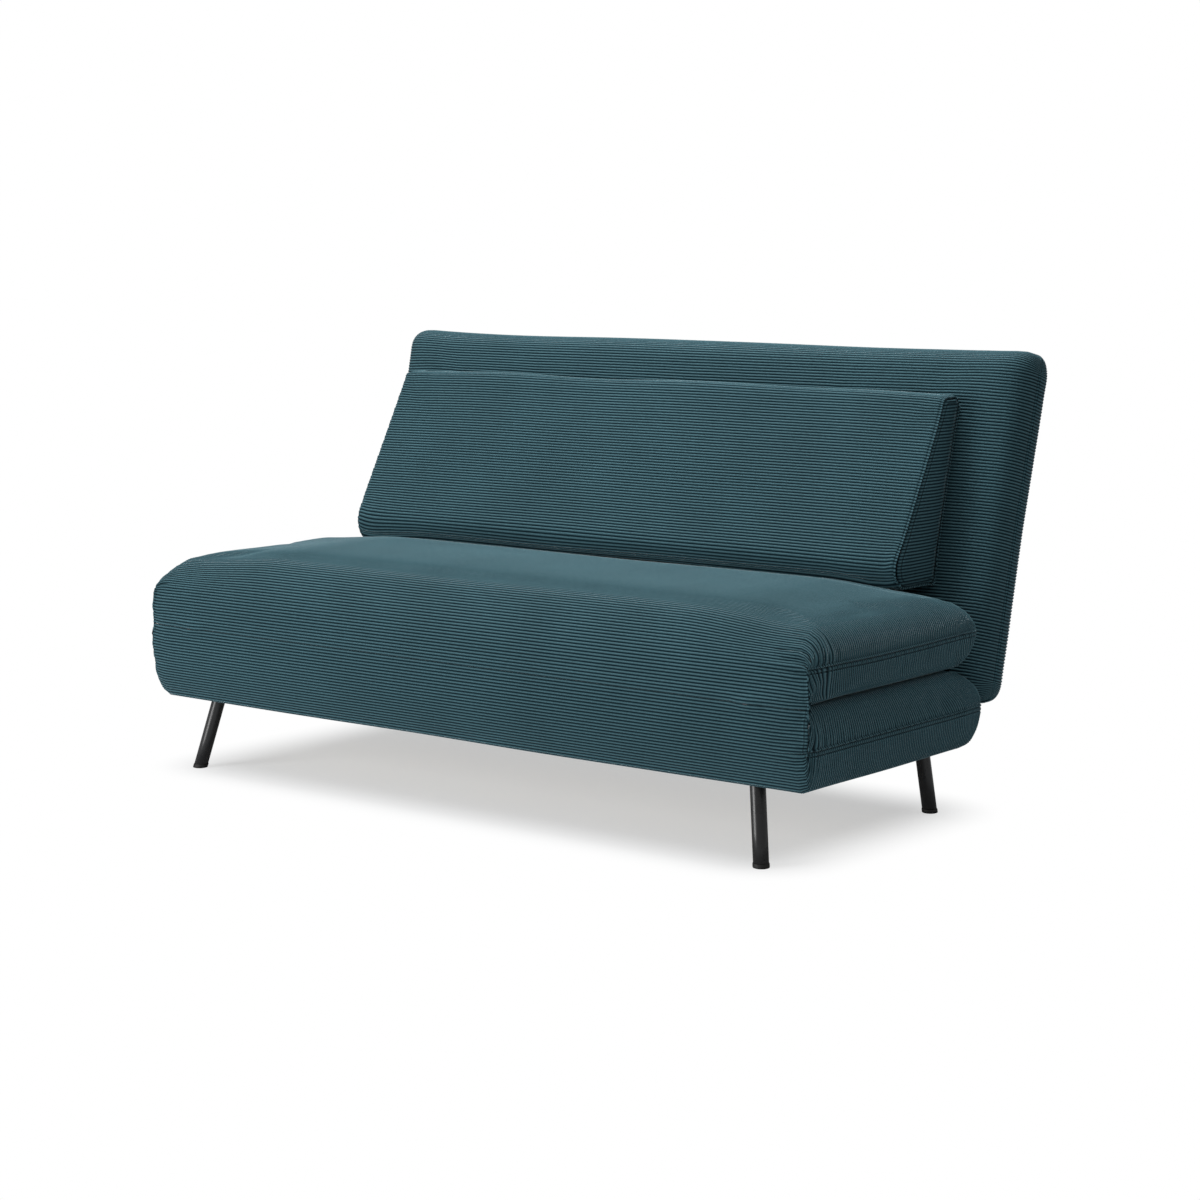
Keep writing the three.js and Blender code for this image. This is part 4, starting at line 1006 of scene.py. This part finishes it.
def corduroy_material():
    material, tree, shader = new_material("corduroy")
    uv = node(tree, "ShaderNodeUVMap", uv_map="cloth")
    split = node(tree, "ShaderNodeSeparateXYZ", {"Vector": uv.outputs["UV"]})
    phase = maths(tree, "MULTIPLY", split.outputs["Y"], math.pi / PITCH)
    crest = maths(tree, "ABSOLUTE", maths(tree, "SINE", phase))
    crest = maths(tree, "POWER", crest, 0.9)
    position = node(tree, "ShaderNodeTexCoord").outputs["Object"]
    nap = node(tree, "ShaderNodeTexNoise", {"Vector": position, "Scale": 7.0, "Detail": 3.0, "Roughness": 0.55})
    fleck = node(tree, "ShaderNodeTexNoise", {"Vector": position, "Scale": 420.0, "Detail": 2.0, "Roughness": 0.6})
    tufts = node(tree, "ShaderNodeTexNoise", {"Vector": position, "Scale": 160.0, "Detail": 2.0})
    # the grooves between the ribs are painted much darker than the crests: painted shade in the grooves
    colour = ramp(tree, crest, [(0.0, srgb(2, 16, 23)), (0.5, srgb(20, 47, 55)), (0.82, srgb(61, 94, 103)),
                                (1.0, srgb(77, 110, 119))])
    light = ramp(tree, nap.outputs["Fac"], [(0.3, (0.92, 0.92, 0.92, 1)), (0.7, (1.06, 1.06, 1.06, 1))])
    colour = mix(tree, 1.0, colour, light, "MULTIPLY")
    grain = ramp(tree, fleck.outputs["Fac"], [(0.3, (0.82, 0.82, 0.82, 1)), (0.7, (1.14, 1.14, 1.14, 1))])
    colour = mix(tree, 1.0, colour, grain, "MULTIPLY")
    # along the seams the stitched grooves are painted dark and the raised lip and band ridges painted lighter: painted
    # shade in the grooves, painted highlights on the ridges
    seam = node(tree, "ShaderNodeAttribute", attribute_name="seam").outputs["Fac"]
    on_band = maths(tree, "GREATER_THAN", seam, 0.25)
    from_seam = maths(tree, "SUBTRACT", seam, maths(tree, "MULTIPLY", on_band, 0.5))
    reach = maths(tree, "MULTIPLY", from_seam, 40.0)
    seam_shade_tones = [(at, (tone, tone, tone, 1)) for at, tone in (
        (0.0, 0.45), (0.045, 0.70), (0.085, 1.25), (0.13, 1.20), (0.20, 0.82), (0.27, 1.0))]
    lip = ramp(tree, reach, seam_shade_tones)
    seam_shade_tones = [(at, (tone, tone, tone, 1)) for at, tone in (
        (0.0, 0.45), (0.05, 0.95), (0.15, 1.08), (0.25, 0.98), (0.31, 0.50), (0.345, 0.60), (0.39, 1.25),
        (0.43, 1.18), (0.50, 1.0))]
    band = ramp(tree, reach, seam_shade_tones)
    colour = mix(tree, 1.0, colour, mix(tree, on_band, lip, band), "MULTIPLY")
    # thread along the band's far edge, a stitch every 4 mm
    line = maths(tree, "LESS_THAN", maths(tree, "ABSOLUTE", maths(tree, "SUBTRACT", from_seam, 0.0066)), 0.0005)
    dash = maths(tree, "GREATER_THAN", maths(tree, "SINE", maths(tree, "MULTIPLY", split.outputs["X"], 1570.0)), -0.4)
    dash_v = maths(tree, "GREATER_THAN", maths(tree, "SINE", maths(tree, "MULTIPLY", split.outputs["Y"], 1570.0)), -0.4)
    thread = maths(tree, "MULTIPLY", maths(tree, "MULTIPLY", line, on_band), maths(tree, "MULTIPLY", dash, dash_v))
    colour = mix(tree, thread, colour, srgb(44, 74, 82))
    tree.links.new(colour, shader.inputs["Base Color"])
    rough = ramp(tree, tufts.outputs["Fac"], [(0.2, (0.80, 0.80, 0.80, 1)), (0.8, (0.97, 0.97, 0.97, 1))])
    tree.links.new(rough, shader.inputs["Roughness"])
    height = maths(tree, "ADD", maths(tree, "MULTIPLY", crest, 0.6), maths(tree, "MULTIPLY", fleck.outputs["Fac"], 0.4))
    bumped = node(tree, "ShaderNodeBump", {"Height": height, "Strength": 0.45, "Distance": 0.0012})
    tree.links.new(bumped.outputs["Normal"], shader.inputs["Normal"])
    shader.inputs["Sheen Weight"].default_value = 1.0
    shader.inputs["Sheen Roughness"].default_value = 0.22
    shader.inputs["Sheen Tint"].default_value = srgb(204, 215, 220)
    shader.inputs["Specular IOR Level"].default_value = 0.15
    return material


def coated_steel(name, color, rough_low, rough_high, scale, strength=0.08):
    material, tree, shader = new_material(name)
    position = node(tree, "ShaderNodeTexCoord").outputs["Object"]
    fine = node(tree, "ShaderNodeTexNoise", {"Vector": position, "Scale": scale, "Detail": 3.0})
    broad = node(tree, "ShaderNodeTexNoise", {"Vector": position, "Scale": 14.0, "Detail": 4.0, "Roughness": 0.6})
    lighter = tuple(min(c * 1.5 + 0.002, 1) for c in color[:3]) + (1,)
    tree.links.new(ramp(tree, broad.outputs["Fac"], [(0.35, color), (0.75, lighter)]), shader.inputs["Base Color"])
    tree.links.new(ramp(tree, broad.outputs["Fac"], [(0.3, (rough_low,) * 3 + (1,)), (0.7, (rough_high,) * 3 + (1,))]),
                   shader.inputs["Roughness"])
    bumped = node(tree, "ShaderNodeBump", {"Height": fine.outputs["Fac"], "Strength": strength, "Distance": 0.0005})
    tree.links.new(bumped.outputs["Normal"], shader.inputs["Normal"])
    return material, shader


def hinge_paint():
    """Semi matte black, rubbed lighter along the edges where the plates run on each other."""
    material, tree, shader = new_material("hinge_black")
    position = node(tree, "ShaderNodeTexCoord").outputs["Object"]
    fine = node(tree, "ShaderNodeTexNoise", {"Vector": position, "Scale": 800.0, "Detail": 2.0})
    worn = node(tree, "ShaderNodeTexNoise", {"Vector": position, "Scale": 45.0, "Detail": 5.0, "Roughness": 0.65})
    edge = node(tree, "ShaderNodeNewGeometry").outputs["Pointiness"]
    rub = maths(tree, "MULTIPLY", maths(tree, "GREATER_THAN", edge, 0.53), worn.outputs["Fac"])
    colour = ramp(tree, worn.outputs["Fac"], [(0.3, srgb(20, 21, 22)), (0.75, srgb(34, 35, 37))])
    tree.links.new(mix(tree, rub, colour, srgb(58, 59, 61)), shader.inputs["Base Color"])
    tree.links.new(ramp(tree, worn.outputs["Fac"], [(0.3, (0.42,) * 3 + (1,)), (0.7, (0.58,) * 3 + (1,))]),
                   shader.inputs["Roughness"])
    bumped = node(tree, "ShaderNodeBump", {"Height": fine.outputs["Fac"], "Strength": 0.12, "Distance": 0.0004})
    tree.links.new(bumped.outputs["Normal"], shader.inputs["Normal"])
    return material


def foam_material():
    material, tree, shader = new_material("foam_open_cell")
    position = node(tree, "ShaderNodeTexCoord").outputs["Object"]
    pores = node(tree, "ShaderNodeTexVoronoi", {"Vector": position, "Scale": 380.0})
    cloud = node(tree, "ShaderNodeTexNoise", {"Vector": position, "Scale": 9.0, "Detail": 4.0})
    colour = ramp(tree, cloud.outputs["Fac"], [(0.3, srgb(222, 208, 172)), (0.7, srgb(238, 228, 200))])
    # the pore centres are painted darker: painted shade in the pores
    pore_shade = ramp(tree, pores.outputs["Distance"], [(0.0, (0.6, 0.57, 0.5, 1)), (0.35, (1, 1, 1, 1))])
    tree.links.new(mix(tree, 1.0, colour, pore_shade, "MULTIPLY"), shader.inputs["Base Color"])
    shader.inputs["Roughness"].default_value = 0.95
    bumped = node(tree, "ShaderNodeBump", {"Height": pores.outputs["Distance"], "Strength": 0.5, "Distance": 0.001})
    tree.links.new(bumped.outputs["Normal"], shader.inputs["Normal"])
    return material


def plywood():
    material, tree, shader = new_material("birch_plywood")
    position = node(tree, "ShaderNodeTexCoord").outputs["Object"]
    stretch = node(tree, "ShaderNodeMapping", {"Vector": position, "Scale": (14.0, 1.2, 60.0)})
    grain = node(tree, "ShaderNodeTexNoise", {"Vector": stretch.outputs["Vector"], "Scale": 5.0, "Detail": 6.0,
                                             "Roughness": 0.6, "Distortion": 0.4})
    colour = ramp(tree, grain.outputs["Fac"], [(0.25, srgb(176, 134, 84)), (0.5, srgb(207, 168, 115)),
                                               (0.8, srgb(222, 188, 140))])
    tree.links.new(colour, shader.inputs["Base Color"])
    tree.links.new(ramp(tree, grain.outputs["Fac"], [(0.3, (0.55,) * 3 + (1,)), (0.7, (0.72,) * 3 + (1,))]),
                   shader.inputs["Roughness"])
    bumped = node(tree, "ShaderNodeBump", {"Height": grain.outputs["Fac"], "Strength": 0.15, "Distance": 0.0006})
    tree.links.new(bumped.outputs["Normal"], shader.inputs["Normal"])
    return material


def moulded(name, color):
    material, tree, shader = new_material(name)
    position = node(tree, "ShaderNodeTexCoord").outputs["Object"]
    fine = node(tree, "ShaderNodeTexNoise", {"Vector": position, "Scale": 900.0, "Detail": 2.0})
    scuff = node(tree, "ShaderNodeTexNoise", {"Vector": position, "Scale": 60.0, "Detail": 4.0})
    lighter = tuple(min(c * 2.2 + 0.004, 1) for c in color[:3]) + (1,)
    tree.links.new(ramp(tree, scuff.outputs["Fac"], [(0.45, color), (0.8, lighter)]), shader.inputs["Base Color"])
    tree.links.new(ramp(tree, scuff.outputs["Fac"], [(0.3, (0.5,) * 3 + (1,)), (0.7, (0.7,) * 3 + (1,))]),
                   shader.inputs["Roughness"])
    bumped = node(tree, "ShaderNodeBump", {"Height": fine.outputs["Fac"], "Strength": 0.2, "Distance": 0.0003})
    tree.links.new(bumped.outputs["Normal"], shader.inputs["Normal"])
    return material


corduroy = corduroy_material()
leg_paint, leg_shader = coated_steel("black_powder_coat", srgb(32, 32, 33), 0.24, 0.34, 700.0)
leg_shader.inputs["Specular IOR Level"].default_value = 0.5
frame_paint, _ = coated_steel("grey_powder_coat", srgb(58, 60, 63), 0.5, 0.62, 500.0, 0.15)
hinge_black = hinge_paint()
foam_skin = foam_material()
birch = plywood()
black_plastic = moulded("black_plastic", srgb(14, 14, 14))


def dress(obj, material):
    obj.data.materials.clear()
    obj.data.materials.append(material)


for piece in (upper, lower, back, wedge):
    dress(piece, corduroy)
for piece in foams:
    dress(piece, foam_skin)
for piece in leg_tubes:
    dress(piece, leg_paint)
for piece in leg_glides:
    dress(piece, black_plastic)
for name, obj in nodes.items():
    if obj.hide_render:
        continue
    if "slat" in name:
        dress(obj, birch)
    elif "glide" in name:
        dress(obj, black_plastic)
    elif name.startswith("support_axle") or name.startswith("support_leg"):
        dress(obj, leg_paint)
    elif "frame" in name or "pawl" in name:
        dress(obj, frame_paint)
    else:
        dress(obj, hinge_black)


# Floor, light and camera

FLOOR_GLOW = 0.46


def make_floor():
    size = 60.0
    vertices = np.array([[-size, -size, 0], [size, -size, 0], [size, size, 0], [-size, size, 0]], float)
    floor = mesh_object("floor", vertices, [[0, 1, 2, 3]])
    material, tree, shader = new_material("floor_white")
    shader.inputs["Base Color"].default_value = (0.54, 0.55, 0.56, 1)
    shader.inputs["Roughness"].default_value = 0.9
    shader.inputs["Specular IOR Level"].default_value = 0.0
    shader.inputs["Emission Color"].default_value = (1, 1, 1, 1)
    rays = node(tree, "ShaderNodeLightPath")
    seen = rays.outputs["Is Camera Ray"]
    tree.links.new(maths(tree, "MULTIPLY", seen, FLOOR_GLOW), shader.inputs["Emission Strength"])
    # away from the footprint the floor passes into the white of the background
    position = node(tree, "ShaderNodeTexCoord").outputs["Object"]
    apart = node(tree, "ShaderNodeVectorMath", {0: position, 1: (0, 0.10, 0)}, operation="ADD").outputs["Vector"]
    apart = node(tree, "ShaderNodeVectorMath", {0: apart}, operation="ABSOLUTE").outputs["Vector"]
    apart = node(tree, "ShaderNodeVectorMath", {0: apart, 1: (0.62, 0.22, 0)}, operation="SUBTRACT").outputs["Vector"]
    apart = node(tree, "ShaderNodeVectorMath", {0: apart, 1: (0, 0, 0)}, operation="MAXIMUM").outputs["Vector"]
    distance = node(tree, "ShaderNodeVectorMath", {0: apart}, operation="LENGTH").outputs["Value"]
    far = node(tree, "ShaderNodeMapRange", {0: distance, 1: 0.0, 2: 0.22}, interpolation_type="SMOOTHSTEP")
    white = node(tree, "ShaderNodeEmission", {"Color": (1, 1, 1, 1), "Strength": 1.0})
    fade = maths(tree, "MULTIPLY", far.outputs[0], seen)
    mixed = node(tree, "ShaderNodeMixShader", {0: fade, 1: shader.outputs[0], 2: white.outputs[0]})
    tree.links.new(mixed.outputs[0], tree.nodes["Material Output"].inputs["Surface"])
    dress(floor, material)


make_floor()

world = bpy.data.worlds.new("studio")
world.use_nodes = True
bpy.context.scene.world = world
tree = world.node_tree
tree.nodes.clear()
rays = node(tree, "ShaderNodeLightPath")
seen = maths(tree, "MAXIMUM", rays.outputs["Is Camera Ray"], rays.outputs["Is Transmission Ray"])
ambient = node(tree, "ShaderNodeBackground", {"Color": (1, 1, 1, 1), "Strength": 0.38})
white = node(tree, "ShaderNodeBackground", {"Color": (1, 1, 1, 1), "Strength": 1.0})
blend = node(tree, "ShaderNodeMixShader", {0: seen, 1: ambient.outputs[0], 2: white.outputs[0]})
output = node(tree, "ShaderNodeOutputWorld", {"Surface": blend.outputs[0]})


def area_light(name, location, target, size, power):
    data = bpy.data.lights.new(name, "AREA")
    data.shape = "DISK"
    data.size = size
    data.energy = power
    light = bpy.data.objects.new(name, data)
    light.location = location
    light.rotation_euler = (Vector(target) - Vector(location)).to_track_quat("-Z", "Y").to_euler()
    bpy.context.scene.collection.objects.link(light)


area_light("key", (-1.8, -3.8, 1.05), (0, 0, 0.35), 2.2, 94)
area_light("top", (0.0, 0.25, 3.3), (0, 0, 0.2), 1.6, 74)

camera_data = bpy.data.cameras.new("camera")
camera_data.lens = 2708.95 / 1200 * 36
camera_data.sensor_width = 36
camera = bpy.data.objects.new("camera", camera_data)
azimuth, elevation = math.radians(38.1908), math.radians(8.0958)
back_axis = Vector((math.sin(azimuth) * math.cos(elevation), -math.cos(azimuth) * math.cos(elevation),
                    math.sin(elevation)))
right_axis = Vector((math.cos(azimuth), math.sin(azimuth), 0))
up_axis = back_axis.cross(right_axis)
camera.matrix_world = Matrix.Translation((3.2805, -3.707 + SHIFT, 1.1096)) @ Matrix(
    (right_axis, up_axis, back_axis)).transposed().to_4x4()
bpy.context.scene.collection.objects.link(camera)
bpy.context.scene.camera = camera
bpy.context.scene.view_settings.view_transform = "Standard"
